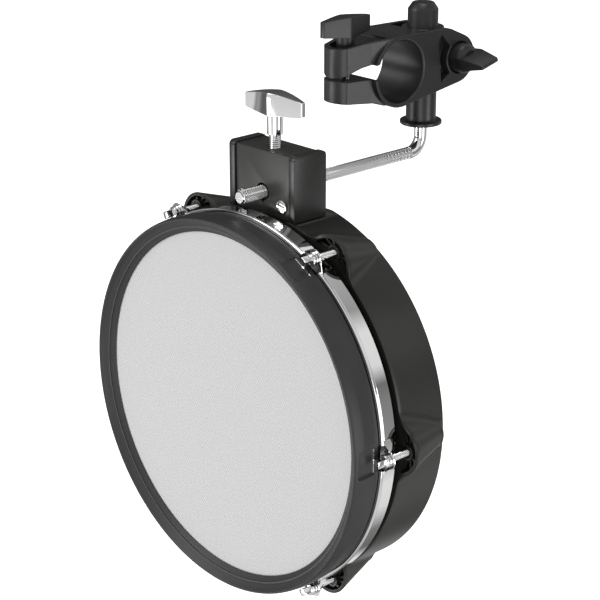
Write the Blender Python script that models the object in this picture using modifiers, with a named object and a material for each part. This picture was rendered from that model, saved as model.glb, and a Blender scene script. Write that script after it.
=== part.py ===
"""Electronic mesh-head drum pad with its mount box, L-rod and rack clamp.

The drawing is dimensioned in millimetres and built in metres, +Z up.
The origin is the centre of the clamp's tube seat, whose axis is X.
The struck face looks along -Y.
"""
import math

import bmesh
import bpy
from mathutils import Matrix, Vector
from mathutils.geometry import convex_hull_2d

MM = 0.001

# Where the sub-assemblies stand
FACE_Y = -128.0             # plane of the struck face
DRUM_Z = -187.0             # height of the drum's axis
ROD_Z = 127.8               # rod arm above the drum's axis
ROD_UPRIGHT_Y = 36.8        # upright of the rod and its sleeve
GAP = 0.3                   # clearance between touching pieces

# Drum
RING_STEPS = 60             # facets round the drum
HEAD_R = 107.0              # struck area
NECK_R = 109.0              # outside of the shell's neck
SHELL_R = 116.5
SHELL_FRONT = 30.0          # depths are measured back from the struck face
SHELL_BACK = 65.8
WALL = 3.0
BEARING_Y = 1.2
PLATFORM_Z = 114.0          # flat on top of the shell, under the mount box
RIM_STEPS = 48              # facets round the rubber rim
HOOP_R = 117.2
HOOP_BEAD_R = 118.2
HOOP_FRONT = 13.4
HOOP_BACK = 25.1
SKIRT_R = 109.9             # outside of the head's skirt

# Lugs and tension rods
LUG_ANGLES = (0, 60, 120, 180, 240, 300)
LUG_R = 121.0               # circle of the tension rods
BOSS_FRONT = (130.0, 17.0, 13.0)    # outermost point, radius and fillet of a lug boss
BOSS_BACK = (120.4, 11.0, 9.0)      # the same where its taper ends
BOSS_TAPER_END = 60.0
BOSS_END = 64.3
POCKET_DEPTH = 8.0
HUB_R = 4.6                 # hub round the threaded insert
THREAD_R = 2.0
INSERT_R = 3.1
LUG_NOTCH = 8.0             # half width of the notches at a lug
EAR_FRONT = 14.9
EAR_NOSE_R = 5.6            # round end of the hoop's ears, about the tension rod

# Sensors
PLATE_FRONT = 24.0
PLATE_BACK = 27.0
POST_CIRCLE = 45.0
POST_ANGLES = (90, 210, 330)
JACK_Z = -70.0
JACK_BORE_R = 3.25

# Mount box
BOX_HALF = 23.2
BOX_FRONT = 30.3
BOX_BACK = 54.1
BOX_FOOT = 114.3
BOX_TOP = 153.2
BOLT_Y = 40.5
BOLT_R = 3.7
FACE_SCREW_X = 17.2
FACE_SCREW_Z = 122.2
MOUNT_SCREW_X = 9.0
MOUNT_SCREW_Y = 42.0
MOUNT_PILOT_R = 2.1

# L-rod
ROD_R = 4.0
ROD_FRONT = -116.1
ROD_TOP = 30.0
BEND_R = 10.0

# Clamp
CLAMP_HALF = 18.0
SEAT_R = 19.2               # seat of the rack tube
SEAT_RING_R = 22.0
T_BOLT_Y = -30.4
JAW_END_R = 12.7
JAW_WALL = 3.3
JAW_FLANK = [(13.6, -21), (16.5, -12), (17.9, -8), (17.9, 30)]
SLEEVE_R = 9.5
SLEEVE_FOOT = -41.6
SLEEVE_TOP = 35.3
PINCH_Y = 52.0
PINCH_Z = 1.0
CHANNEL_HALF = 14.5
REAR_FLOOR = 16.2

TURN = {"X": (0, math.pi / 2, 0), "Y": (-math.pi / 2, 0, 0), "Z": (0, 0, 0)}

for old in list(bpy.data.objects):
    bpy.data.objects.remove(old, do_unlink=True)


def new_collection(name):
    collection = bpy.data.collections.new(name)
    bpy.context.scene.collection.children.link(collection)
    return collection


PARTS = new_collection("mesh_drum_pad")
CUTTERS = new_collection("cutters")


def new_material(name, colour, roughness, metallic=0.0):
    material = bpy.data.materials.new(name)
    material.use_nodes = True
    shader = material.node_tree.nodes["Principled BSDF"]
    shader.inputs["Base Color"].default_value = (*colour, 1)
    shader.inputs["Roughness"].default_value = roughness
    shader.inputs["Metallic"].default_value = metallic
    return material


CHROME = ((0.75, 0.75, 0.77), 0.12, 1.0)
STEEL = ((0.55, 0.55, 0.56), 0.35, 1.0)
BRASS = ((0.72, 0.55, 0.25), 0.3, 1.0)
RUBBER = ((0.045, 0.045, 0.045), 0.6, 0.0)
SHELL_PLASTIC = ((0.03, 0.03, 0.027), 0.42, 0.0)
BOX_PLASTIC = ((0.06, 0.06, 0.06), 0.4, 0.0)
CLAMP_PLASTIC = ((0.015, 0.015, 0.015), 0.35, 0.0)
MESH_FABRIC = ((0.6, 0.6, 0.6), 0.8, 0.0)
FOAM = ((0.08, 0.08, 0.09), 0.9, 0.0)
WIRE = ((0.3, 0.02, 0.02), 0.5, 0.0)


# ---------------------------------------------------------------- helpers

def scaled(point):
    return Vector(point) * MM


def add_object(name, mesh, look=None, place=(0, 0, 0), turn=(0, 0, 0)):
    """Put a mesh in the parts, or among the cutters when it has no look."""
    thing = bpy.data.objects.new(name, mesh)
    thing.location = scaled(place)
    thing.rotation_euler = turn
    if look is None:
        CUTTERS.objects.link(thing)
        thing.hide_render = True
        thing.display_type = "WIRE"
        return thing
    PARTS.objects.link(thing)
    mesh.materials.append(new_material(name + "_finish", *look))
    return thing


def turned(name, profile, look=None, place=(0, 0, 0), axis="Z", steps=24, ring=False):
    """A profile of (radius, height) points spun about the axis.

    The profile runs down its outer side; a ring closes on its first point.
    """
    mesh = bpy.data.meshes.new(name)
    points = [(radius * MM, 0, height * MM) for radius, height in profile]
    edges = [(i, i + 1) for i in range(len(points) - 1)]
    if ring:
        edges.append((len(points) - 1, 0))
    mesh.from_pydata(points, edges, [])
    thing = add_object(name, mesh, look, place, TURN[axis])
    screw = thing.modifiers.new("spin", "SCREW")
    screw.steps = steps
    screw.render_steps = steps
    screw.use_merge_vertices = True
    screw.merge_threshold = 0.00001
    screw.use_smooth_shade = look is not None
    return thing


def cylinder(name, radius, low, high, look=None, place=(0, 0, 0), axis="Z", steps=24):
    profile = [(0, high), (radius, high), (radius, low), (0, low)]
    return turned(name, profile, look, place, axis, steps)


def tube(name, inner, outer, low, high, look=None, place=(0, 0, 0), axis="Z", steps=24):
    profile = [(outer, high), (outer, low), (inner, low), (inner, high)]
    return turned(name, profile, look, place, axis, steps, ring=True)


def box(name, low, high, look=None, rounding=0.0, edges=None):
    """A block between two corners; edges picks what the bevel rounds."""
    low = Vector(low)
    high = Vector(high)
    mesh = bpy.data.meshes.new(name)
    shape = bmesh.new()
    bmesh.ops.create_cube(shape, size=1)
    bmesh.ops.scale(shape, vec=(high - low) * MM, verts=shape.verts)
    if rounding:
        chosen = [e for e in shape.edges if edges is None or edges(e)]
        bmesh.ops.bevel(shape, geom=chosen, offset=rounding * MM, segments=3,
                        affect="EDGES", profile=0.5)
    shape.to_mesh(mesh)
    shape.free()
    return add_object(name, mesh, look, (low + high) / 2)


def along(axis):
    """Chooses the edges that run along one axis of a block."""
    def chosen(edge):
        direction = edge.verts[0].co - edge.verts[1].co
        return abs(direction[axis]) > 0.99 * direction.length
    return chosen


def extruded(name, outline, low, high, look=None, place=(0, 0, 0), axis="Z"):
    """A flat outline drawn by a 2D curve and given a thickness.

    Outlines are (x, y) for axis Z, (x, z) for axis Y and (y, z) for axis X.
    """
    frames = {
        "Z": Matrix.Identity(4),
        "Y": Matrix(((1, 0, 0, 0), (0, 0, 1, 0), (0, 1, 0, 0), (0, 0, 0, 1))),
        "X": Matrix(((0, 0, 1, 0), (1, 0, 0, 0), (0, 1, 0, 0), (0, 0, 0, 1))),
    }
    curve = bpy.data.curves.new(name, "CURVE")
    curve.dimensions = "2D"
    curve.fill_mode = "BOTH"
    curve.extrude = (high - low) / 2 * MM
    spline = curve.splines.new("POLY")
    spline.points.add(len(outline) - 1)
    for point, (u, v) in zip(spline.points, outline):
        point.co = (u * MM, v * MM, 0, 1)
    spline.use_cyclic_u = True
    drawn = bpy.data.objects.new(name, curve)
    CUTTERS.objects.link(drawn)
    mesh = mesh_of(drawn)
    middle = Matrix.Translation((0, 0, (high + low) / 2 * MM))
    mesh.transform(frames[axis] @ middle)
    shape = bmesh.new()
    shape.from_mesh(mesh)
    bmesh.ops.remove_doubles(shape, verts=shape.verts, dist=0.000001)
    bmesh.ops.dissolve_limit(shape, angle_limit=0.001, verts=shape.verts, edges=shape.edges)
    bmesh.ops.recalc_face_normals(shape, faces=shape.faces)
    shape.to_mesh(mesh)
    shape.free()
    return add_object(name, mesh, look, place)


def mesh_of(drawn):
    """The evaluated mesh of a curve object, which is then removed."""
    bpy.context.view_layer.update()
    graph = bpy.context.evaluated_depsgraph_get()
    mesh = bpy.data.meshes.new_from_object(drawn.evaluated_get(graph))
    bpy.data.objects.remove(drawn, do_unlink=True)
    return mesh


def lofted(name, sections, look=None, place=(0, 0, 0), turn=(0, 0, 0)):
    """A solid through closed sections that have the same number of points."""
    mesh = bpy.data.meshes.new(name)
    shape = bmesh.new()
    rings = [[shape.verts.new(scaled(p)) for p in section] for section in sections]
    count = len(sections[0])
    for near, far in zip(rings, rings[1:]):
        for i in range(count):
            j = (i + 1) % count
            shape.faces.new((near[i], near[j], far[j], far[i]))
    shape.faces.new(list(reversed(rings[0])))
    shape.faces.new(rings[-1])
    bmesh.ops.recalc_face_normals(shape, faces=shape.faces)
    shape.to_mesh(mesh)
    shape.free()
    return add_object(name, mesh, look, place, turn)


def wire(name, points, radius, look):
    """A tube along a polyline, with its caps welded."""
    curve = bpy.data.curves.new(name, "CURVE")
    curve.dimensions = "3D"
    curve.bevel_depth = radius * MM
    curve.bevel_resolution = 2 if radius < 2 else 6
    curve.use_fill_caps = True
    spline = curve.splines.new("POLY")
    spline.points.add(len(points) - 1)
    for point, place in zip(spline.points, points):
        point.co = (*scaled(place), 1)
    drawn = bpy.data.objects.new(name, curve)
    CUTTERS.objects.link(drawn)
    mesh = mesh_of(drawn)
    shape = bmesh.new()
    shape.from_mesh(mesh)
    bmesh.ops.remove_doubles(shape, verts=shape.verts, dist=0.00001)
    bmesh.ops.recalc_face_normals(shape, faces=shape.faces)
    shape.to_mesh(mesh)
    shape.free()
    return add_object(name, mesh, look)


def boolean(thing, operation, *tools):
    for tool in tools:
        change = thing.modifiers.new(tool.name, "BOOLEAN")
        change.operation = operation
        change.object = tool
        change.solver = "EXACT"
    return thing


def cut(thing, *tools):
    return boolean(thing, "DIFFERENCE", *tools)


def joined(thing, *tools):
    return boolean(thing, "UNION", *tools)


def six_copies(tool):
    """Turns one cutter or boss, drawn at angle 0, into six round the drum."""
    shape = bmesh.new()
    for angle in LUG_ANGLES:
        copy = tool.data.copy()
        copy.transform(Matrix.Rotation(math.radians(-angle), 4, "Y"))
        shape.from_mesh(copy)
        bpy.data.meshes.remove(copy)
    shape.to_mesh(tool.data)
    shape.free()
    return tool


def arc(centre, radius, start, end, count):
    """Points on an arc, with both of its ends; angles in degrees."""
    points = []
    for i in range(count + 1):
        angle = math.radians(start + (end - start) * i / count)
        points.append((centre[0] + radius * math.cos(angle), centre[1] + radius * math.sin(angle)))
    return points


def circle_points(centre, radius, count=24):
    return arc(centre, radius, 0, 360, count)[:-1]


def hull(points):
    return [points[i] for i in convex_hull_2d(points)]


def hexagon(across_flats):
    return circle_points((0, 0), across_flats / math.sqrt(3), 6)


def axis_empty(name, place):
    """An empty on a joint's axis, which carries the pieces that move on it."""
    empty = bpy.data.objects.new(name, None)
    empty.location = scaled(place)
    PARTS.objects.link(empty)
    return empty


def carry(empty, *things):
    for thing in things:
        thing.parent = empty
        thing.matrix_parent_inverse = Matrix.Translation(-empty.location)


def in_drum(x, depth, z):
    """World place of a point given from the centre of the struck face."""
    return (x, FACE_Y + depth, DRUM_Z + z)


DRUM = in_drum(0, 0, 0)


# ------------------------------------------------------------- drum shell

def boss_size(depth):
    """Outermost point, radius and fillet of a lug boss at a depth."""
    share = min(1.0, (depth - SHELL_FRONT) / (BOSS_TAPER_END - SHELL_FRONT))
    outer, radius, fillet = [a + (b - a) * share for a, b in zip(BOSS_FRONT, BOSS_BACK)]
    if depth > BOSS_TAPER_END:
        low = SHELL_R + 0.05
        end_share = (depth - BOSS_TAPER_END) / (BOSS_END - BOSS_TAPER_END)
        outer = low + (outer - low) * math.sqrt(max(0.0, 1 - end_share ** 2))
    return outer, radius, fillet


def boss_section(depth):
    """Outline of a lug boss with its fillets to the round shell."""
    outer, radius, fillet_r = boss_size(depth)
    centre = outer - radius
    near = SHELL_R + fillet_r
    far = radius + fillet_r
    swing = math.acos((near ** 2 + centre ** 2 - far ** 2) / (2 * near * centre))
    fillet = (near * math.cos(swing), near * math.sin(swing))
    lean = math.degrees(math.atan2(fillet[1], fillet[0] - centre))
    shell_side = 180 + math.degrees(swing)
    boss_side = 180 + lean
    side = arc(fillet, fillet_r, shell_side, boss_side, 3)
    crown = arc((centre, 0), radius, lean, -lean, 8)
    mirrored = [(x, -z) for x, z in reversed(side)]
    root = SHELL_R - WALL / 2
    foot = [(root * math.cos(swing), -root * math.sin(swing)), (root, 0),
            (root * math.cos(swing), root * math.sin(swing))]
    outline = side + crown[1:-1] + mirrored + foot
    return [(x, depth, z) for x, z in outline]


def make_shell():
    profile = [
        (0, SHELL_BACK), (SHELL_R - 1, SHELL_BACK), (SHELL_R - 0.3, SHELL_BACK - 0.3),
        (SHELL_R, SHELL_BACK - 1), (SHELL_R, SHELL_FRONT), (NECK_R, SHELL_FRONT),
        (NECK_R, BEARING_Y + 1.6), (NECK_R - 1.4, BEARING_Y), (NECK_R - 2.8, BEARING_Y + 1.6),
        (NECK_R - 2.8, SHELL_FRONT + WALL), (SHELL_R - WALL, SHELL_FRONT + WALL),
        (SHELL_R - WALL, SHELL_BACK - WALL), (0, SHELL_BACK - WALL),
    ]
    shell = turned("shell", profile, SHELL_PLASTIC, DRUM, "Y", RING_STEPS)
    depths = (SHELL_FRONT, BOSS_TAPER_END, BOSS_TAPER_END + 1.9, BOSS_TAPER_END + 3.3, BOSS_END)
    bosses = six_copies(lofted("lug_bosses", [boss_section(d) for d in depths]))
    bosses.location = scaled(DRUM)
    platform = box("platform", in_drum(-30, 31, 106), in_drum(30, SHELL_BACK - 2.7, PLATFORM_Z))
    joined(shell, bosses, platform)
    for angle in POST_ANGLES:
        x = POST_CIRCLE * math.cos(math.radians(angle))
        z = POST_CIRCLE * math.sin(math.radians(angle))
        low = PLATE_BACK + GAP
        post = cylinder(f"post_{angle}", 4, low, SHELL_BACK - 1, None, in_drum(x, 0, z), "Y", 12)
        joined(shell, post)
        pilot = cylinder(f"pilot_{angle}", 1.6, low - 1, 40, None, in_drum(x, 0, z), "Y", 8)
        cut(shell, pilot)
    crown = box("crown", in_drum(-40, 20, PLATFORM_Z), in_drum(40, 70, 125))
    cut(shell, crown, make_lug_pockets(), make_insert_holes())
    jack_hole = cylinder("jack_hole", 5.2, 55, 75, None, in_drum(0, 0, JACK_Z), "Y", 16)
    cut(shell, jack_hole)
    for side in (-1, 1):
        hole = cylinder(f"platform_hole_{side + 2}", MOUNT_PILOT_R, 100, 120, None,
                        in_drum(MOUNT_SCREW_X * side, MOUNT_SCREW_Y, 0), "Z", 10)
        cut(shell, hole)
    return shell


def pocket_reach(depth, angle):
    """How far a pocket reaches from the hub's axis, inside the boss's wall."""
    outer, radius, _ = boss_size(depth)
    inside = radius - 2.3
    offset = LUG_R - (outer - radius)
    turn = math.radians(angle)
    reach = math.sqrt(inside ** 2 - (offset * math.sin(turn)) ** 2) - offset * math.cos(turn)
    return max(reach, HUB_R + 0.4)


def pocket_section(depth, start, end):
    """One pocket between two ribs that run out from the hub."""
    half_rib = 0.7
    outline = []
    for i in range(4):
        angle = start + (end - start) * i / 3
        reach = pocket_reach(depth, angle)
        rib = math.degrees(math.asin(half_rib / reach))
        angle = min(max(angle, start + rib), end - rib)
        turn = math.radians(angle)
        outline.append((LUG_R + reach * math.cos(turn), reach * math.sin(turn)))
    rib = math.degrees(math.asin(half_rib / HUB_R))
    outline += [(LUG_R + x, z) for x, z in arc((0, 0), HUB_R, end - rib, start + rib, 1)]
    return outline


def make_lug_pockets():
    """Weight-saving pockets round the hub of each boss, open in front."""
    shape = bmesh.new()
    for start, end in ((0, 57), (57, 85), (85, 110)):
        for side in (-1, 1):
            sections = []
            for depth in (SHELL_FRONT - 2, SHELL_FRONT + POCKET_DEPTH):
                outline = pocket_section(depth, start, end)
                sections.append([(x, depth, z * side) for x, z in outline])
            pocket = lofted("pocket", sections)
            shape.from_mesh(pocket.data)
            bpy.data.objects.remove(pocket, do_unlink=True)
    mesh = bpy.data.meshes.new("lug_pockets")
    shape.to_mesh(mesh)
    shape.free()
    return six_copies(add_object("lug_pockets", mesh, None, DRUM))


def make_insert_holes():
    outline = circle_points((LUG_R, 0), INSERT_R + GAP, 12)
    sections = []
    for depth in (SHELL_FRONT - 1, SHELL_FRONT + 16):
        sections.append([(x, depth, z) for x, z in outline])
    return six_copies(lofted("insert_holes", sections, None, DRUM))


# --------------------------------------------------- head, hoop and rim

def make_head():
    front = GAP
    back = BEARING_Y - GAP
    skirt = SKIRT_R - 0.6
    profile = [
        (0, back), (skirt - 1.2, back), (skirt, back + 1.2), (skirt, 17),
        (SKIRT_R, 17), (SKIRT_R, back + 0.9), (skirt - 0.9, front), (0, front),
    ]
    head = turned("mesh_head", profile, MESH_FABRIC, DRUM, "Y", RING_STEPS)
    hoop = tube("flesh_hoop", SKIRT_R + GAP, 114.6, 15.2, 19.4, STEEL, DRUM, "Y", RING_STEPS)
    return head, hoop


def lug_box(name, low, high):
    """A block drawn at the lug at angle 0 and copied to all six lugs."""
    block = box(name, low, high)
    block.data.transform(Matrix.Translation(block.location))
    block.location = scaled(DRUM)
    return six_copies(block)


def make_tension_hoop():
    collar = SKIRT_R + 0.5
    profile = [
        (HOOP_R, HOOP_BACK), (HOOP_R, HOOP_FRONT + 2.6), (HOOP_BEAD_R, HOOP_FRONT + 1.9),
        (HOOP_BEAD_R, HOOP_FRONT + 0.5), (HOOP_R + 0.4, HOOP_FRONT),
        (collar + 1.5, HOOP_FRONT), (collar + 1.5, -3), (collar, -3),
        (collar, HOOP_FRONT + 1.5), (HOOP_R - 1.5, HOOP_FRONT + 1.5), (HOOP_R - 1.5, HOOP_BACK),
    ]
    hoop = turned("tension_hoop", profile, CHROME, DRUM, "Y", RING_STEPS, ring=True)
    root = HOOP_R - 1.6
    nose = arc((LUG_R, 0), EAR_NOSE_R, -75, 75, 8)
    plan = [(root, -10.5)] + nose + [(root, 10.5)]
    sections = []
    for depth, outer in ((EAR_FRONT, LUG_R + EAR_NOSE_R), (HOOP_BACK, HOOP_R + 0.1)):
        share = (outer - root) / (LUG_R + EAR_NOSE_R - root)
        sections.append([(root + (x - root) * share, depth, z) for x, z in plan])
    ears = lofted("ears", sections)
    outline = circle_points((LUG_R, 0), THREAD_R + GAP, 12)
    holes = lofted("ear_holes", [[(x, d, z) for x, z in outline] for d in (12, 27)])
    for tool in (ears, holes):
        tool.location = scaled(DRUM)
        six_copies(tool)
    notch = lug_box("hoop_notches", (115.0, 10, -LUG_NOTCH), (HOOP_BEAD_R + 0.1, 20.6, LUG_NOTCH))
    joined(hoop, ears)
    return cut(hoop, holes, notch)


def make_rim_rubber():
    slot_in = SKIRT_R + 0.2
    slot_out = SKIRT_R + 2.3
    outside = HOOP_R
    profile = [
        (outside - 1.4, 12.9), (outside - 0.2, 8.8), (outside, -4.8), (outside - 0.8, -6.8),
        (outside - 2, -6.6), (HEAD_R + 0.5, -0.8), (HEAD_R, 0), (slot_in, 0), (slot_in, -3.3),
        (slot_out, -3.3), (slot_out, 12.9),
    ]
    rim = turned("rim_rubber", profile, RUBBER, DRUM, "Y", RIM_STEPS, ring=True)
    notch = lug_box("rim_notches", (115.3, -3.7, -LUG_NOTCH), (121, 18, LUG_NOTCH))
    return cut(rim, notch)


# --------------------------------------------------------- tension rods

def lug_place(angle, depth=0.0):
    turn = math.radians(angle)
    return in_drum(LUG_R * math.cos(turn), depth, LUG_R * math.sin(turn))


def make_tension_rod(number, angle):
    """A square-headed rod with its flange, its washer and its threaded insert."""
    head_half = 2.1
    head_front = 5.5
    flange_front = 11.0
    flange_back = 13.0
    profile = [(0, 44), (THREAD_R - 0.5, 44), (THREAD_R, 43), (THREAD_R, flange_back),
               (3.9, flange_back), (3.9, flange_front + 0.5), (3.4, flange_front),
               (0, flange_front)]
    rod = turned(f"tension_rod_{number}", profile, CHROME, lug_place(angle), "Y", 12)
    head = box(f"square_head_{number}", (-head_half, head_front, -head_half),
               (head_half, flange_front + 0.6, head_half))
    head.location = Vector(lug_place(angle, (head_front + flange_front + 0.6) / 2)) * MM
    head.rotation_euler = (0, math.radians(-angle), 0)
    joined(rod, head)
    washer = tube(f"tension_washer_{number}", THREAD_R + GAP, 3.9, flange_back + GAP,
                  EAR_FRONT - GAP, STEEL, lug_place(angle), "Y", 12)
    insert = tube(f"lug_insert_{number}", THREAD_R + GAP, INSERT_R, SHELL_FRONT + 0.4,
                  SHELL_FRONT + 12, BRASS, lug_place(angle), "Y", 12)
    return rod, washer, insert


# -------------------------------------------------------------- sensors

def make_sensors():
    """The bridge plate with the head sensor, the rim sensor, jack and leads."""
    pieces = []
    plate = cylinder("sensor_plate", 56, PLATE_FRONT, PLATE_BACK, STEEL, DRUM, "Y", 36)
    for number, angle in enumerate(POST_ANGLES, 1):
        x = POST_CIRCLE * math.cos(math.radians(angle))
        z = POST_CIRCLE * math.sin(math.radians(angle))
        place = in_drum(x, 0, z)
        hole = cylinder(f"plate_hole_{number}", 1.7, 20, 30, None, place, "Y", 10)
        cut(plate, hole)
        profile = [(0, 36), (1.3, 35.4), (1.3, PLATE_FRONT - GAP), (3, PLATE_FRONT - GAP),
                   (3, PLATE_FRONT - 1.4), (2, PLATE_FRONT - 2.2), (0, PLATE_FRONT - 2.2)]
        pieces.append(turned(f"plate_screw_{number}", profile, STEEL, place, "Y", 10))
    wire_hole = cylinder("plate_wire_hole", 2.5, 20, 30, None, in_drum(0, 0, -30), "Y", 12)
    cut(plate, wire_hole)
    pad = cylinder("piezo_pad", 12, 21.6, PLATE_FRONT - GAP, FOAM, DRUM, "Y", 20)
    piezo = cylinder("head_piezo", 13.5, 20.7, 21.3, BRASS, DRUM, "Y", 20)
    cone = turned("foam_cone", [(0, 20.4), (12, 20.4), (5, BEARING_Y), (0, BEARING_Y)],
                  FOAM, DRUM, "Y", 20)
    rim_place = in_drum(34, 0, -52)
    rim_piezo = cylinder("rim_piezo", 13.5, SHELL_BACK - WALL - GAP - 0.6,
                         SHELL_BACK - WALL - GAP, BRASS, rim_place, "Y", 20)
    pieces += [plate, pad, piezo, cone, rim_piezo]
    pieces += make_jack() + make_leads()
    return pieces


def make_jack():
    """A socket with a blind bore, open at the back, and its nut."""
    place = in_drum(0, 0, JACK_Z)
    inner_face = SHELL_BACK - WALL - GAP
    front = 44.0
    back = SHELL_BACK + 4.5
    profile = [(0, front + 2), (JACK_BORE_R, front + 2), (JACK_BORE_R, back), (4.8, back),
               (4.8, inner_face), (8, inner_face), (8, front), (0, front)]
    socket = turned("jack_socket", profile, CHROME, place, "Y", 20)
    nut = extruded("jack_nut", hexagon(13.5), SHELL_BACK + GAP, SHELL_BACK + 2.7, STEEL,
                   place, "Y")
    hole = cylinder("jack_nut_hole", 5.1, 60, 75, None, place, "Y", 20)
    cut(nut, hole)
    return [socket, nut]


def make_leads():
    """Leads from both sensors to the tail of the jack."""
    head_points = [(0, 21, -14.8), (0, 21.4, -19), (0, 22, -25), (0, 22.8, -28.5), (0, 24.5, -30),
                   (0, 27, -30.2), (0, 31, -31.5), (1, 36, -38), (2, 38.5, -50), (2, 40, -61),
                   (2, 42.9, -67)]
    rim_points = [(20, 60, -58), (17, 57, -59), (13, 50, -60), (9, 43.5, -62),
                  (3, 40.5, -68), (-1, 41, -72), (-2, 42.9, -73)]
    leads = []
    for name, points in (("head_lead", head_points), ("rim_lead", rim_points)):
        route = [in_drum(*point) for point in points]
        leads.append(wire(name, route, 0.8, WIRE))
    return leads


# ------------------------------------------------------------ mount box

def make_mount_box():
    """The inverted channel over the rod and the plates that close its ends."""
    body = box("mount_box", in_drum(-BOX_HALF, BOX_FRONT, BOX_FOOT),
               in_drum(BOX_HALF, BOX_BACK, BOX_TOP), BOX_PLASTIC, 0.8, along(0))
    hollow = box("box_hollow", in_drum(-30, BOX_FRONT + WALL, BOX_FOOT - 5),
                 in_drum(30, BOX_BACK - WALL, BOX_TOP - WALL))
    drop = [(0, ROD_Z - 6.2)] + arc((0, ROD_Z), 5.5, -30, 210, 12)
    rod_hole = extruded("rod_hole", drop, 20, 60, None, DRUM, "Y")
    bolt_hole = cylinder("bolt_hole", BOLT_R + 0.4, 145, 160, None, in_drum(0, BOLT_Y, 0), "Z", 16)
    cut(body, hollow, rod_hole, bolt_hole)
    pieces = [body]
    for side, name in ((-1, "left"), (1, "right")):
        corners = (BOX_HALF + GAP, BOX_HALF + GAP + 5)
        low_x = min(corners[0] * side, corners[1] * side)
        high_x = max(corners[0] * side, corners[1] * side)
        outline = [(BOX_FRONT - 0.95, BOX_FOOT), (BOX_BACK + 0.95, BOX_FOOT)]
        outline += arc((BOX_BACK - 2.05, BOX_TOP - 1.9), 3, 0, 90, 4)
        outline += arc((BOX_FRONT + 2.05, BOX_TOP - 1.9), 3, 90, 180, 4)
        pieces.append(extruded(f"end_plate_{name}", outline, low_x, high_x, BOX_PLASTIC,
                               DRUM, "X"))
    return pieces


def make_box_screws(v_block):
    """Two slotted screws in the face and two from inside the shell."""
    pieces = []
    for number, side in enumerate((-1, 1), 1):
        place = in_drum(FACE_SCREW_X * side, 0, FACE_SCREW_Z)
        profile = [(0, 44), (1.8, 44), (1.8, BOX_FRONT - GAP), (4.25, BOX_FRONT - GAP),
                   (4.25, BOX_FRONT - 1.0), (3.2, BOX_FRONT - 1.9), (0, BOX_FRONT - 1.9)]
        screw = turned(f"face_screw_{number}", profile, STEEL, place, "Y", 16)
        slot = box(f"screw_slot_{number}", (-6, -1, -0.6), (6, 1, 0.6))
        slot.location = scaled(in_drum(FACE_SCREW_X * side, BOX_FRONT - 2.1, FACE_SCREW_Z))
        slot.rotation_euler = (0, math.radians(10), 0)
        cut(screw, slot)
        hole = cylinder(f"face_hole_{number}", MOUNT_PILOT_R, 20, 45, None, place, "Y", 12)
        cut(v_block, hole)
        cut(bpy.data.objects["mount_box"], hole)
        low = in_drum(MOUNT_SCREW_X * side, MOUNT_SCREW_Y, 0)
        profile = [(0, 120), (1.8, 120), (1.8, 105.7), (3.6, 105.7), (3.6, 103.6),
                   (2.6, 102.6), (0, 102.6)]
        mount_screw = turned(f"mount_screw_{number}", profile, STEEL, low, "Z", 10)
        pilot = cylinder(f"mount_pilot_{number}", MOUNT_PILOT_R, 110, 120.6, None, low, "Z", 10)
        cut(v_block, pilot)
        pieces += [screw, mount_screw]
    return pieces


def make_rod_grip():
    """V-block under the rod and the nut plate under the roof of the box."""
    apex = ROD_Z - (ROD_R + GAP) * math.sqrt(2)
    step = 126.0
    outline = [(-22, BOX_FOOT + GAP), (22, BOX_FOOT + GAP), (22, step), (12, step),
               (12, ROD_Z + 0.8), (apex_offset(apex), ROD_Z + 0.8), (0, apex),
               (-apex_offset(apex), ROD_Z + 0.8), (-12, ROD_Z + 0.8), (-12, step), (-22, step)]
    v_block = extruded("v_block", outline, BOX_FRONT + WALL + GAP, BOX_BACK - WALL - GAP,
                       STEEL, DRUM, "Y")
    nut_plate = box("nut_plate", in_drum(-9, 34, 142.4), in_drum(9, 50, BOX_TOP - WALL - GAP),
                    STEEL)
    hole = cylinder("nut_plate_hole", BOLT_R + GAP, 130, 160, None, in_drum(0, BOLT_Y, 0), "Z", 16)
    cut(nut_plate, hole)
    return v_block, nut_plate


def apex_offset(apex):
    """Half width of the V at its mouth, for sides at 45 degrees."""
    return ROD_Z + 0.8 - apex


def make_saddle():
    """The curved shoe between the wing bolt and the rod."""
    outline = arc((0, 0), ROD_R + 3, 42, 138, 8) + arc((0, 0), ROD_R + GAP, 138, 42, 8)
    place = in_drum(0, 0, ROD_Z)
    return extruded("saddle", outline, 36, 48, STEEL, place, "Y")


def handle_section(reach, half_length, half_thick, heights):
    """Cross-section of a lozenge handle at a share of its half length."""
    share = abs(reach)
    end_thick = half_thick * 0.28
    thick = end_thick + (half_thick - end_thick) * (1 - share ** 1.25)
    low = heights[0] + (heights[2] - heights[0]) * share
    high = heights[1] + (heights[3] - heights[1]) * share ** 1.6
    soft = min(1.2, thick * 0.5)
    corners = [(thick, low + soft), (thick, high - soft), (thick - soft, high),
               (soft - thick, high), (-thick, high - soft), (-thick, low + soft),
               (soft - thick, low), (thick - soft, low)]
    return [(reach * half_length, y, z) for y, z in corners]


def handle(name, half_length, half_thick, heights):
    """A lozenge T-handle; heights are low and high at the middle, then at the ends."""
    shares = (-1, -0.6, -0.25, 0, 0.25, 0.6, 1)
    return lofted(name, [handle_section(s, half_length, half_thick, heights) for s in shares])


def make_wing_bolt():
    place = in_drum(0, BOLT_Y, 0)
    tip = ROD_Z + ROD_R + 3 + GAP
    profile = [(0, 174), (5, 174), (5, 161.6), (4.4, 160.9), (BOLT_R, 160.9),
               (BOLT_R, tip + 0.8), (BOLT_R - 0.8, tip), (0, tip)]
    bolt = turned("wing_bolt", profile, CHROME, place, "Z", 16)
    wings = handle("wings", 22, 6, (172.5, 186.5, 174.5, 183))
    wings.location = scaled(place)
    wings.rotation_euler = (0, 0, math.radians(6))
    return joined(bolt, wings)


# ---------------------------------------------------------------- L-rod

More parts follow.
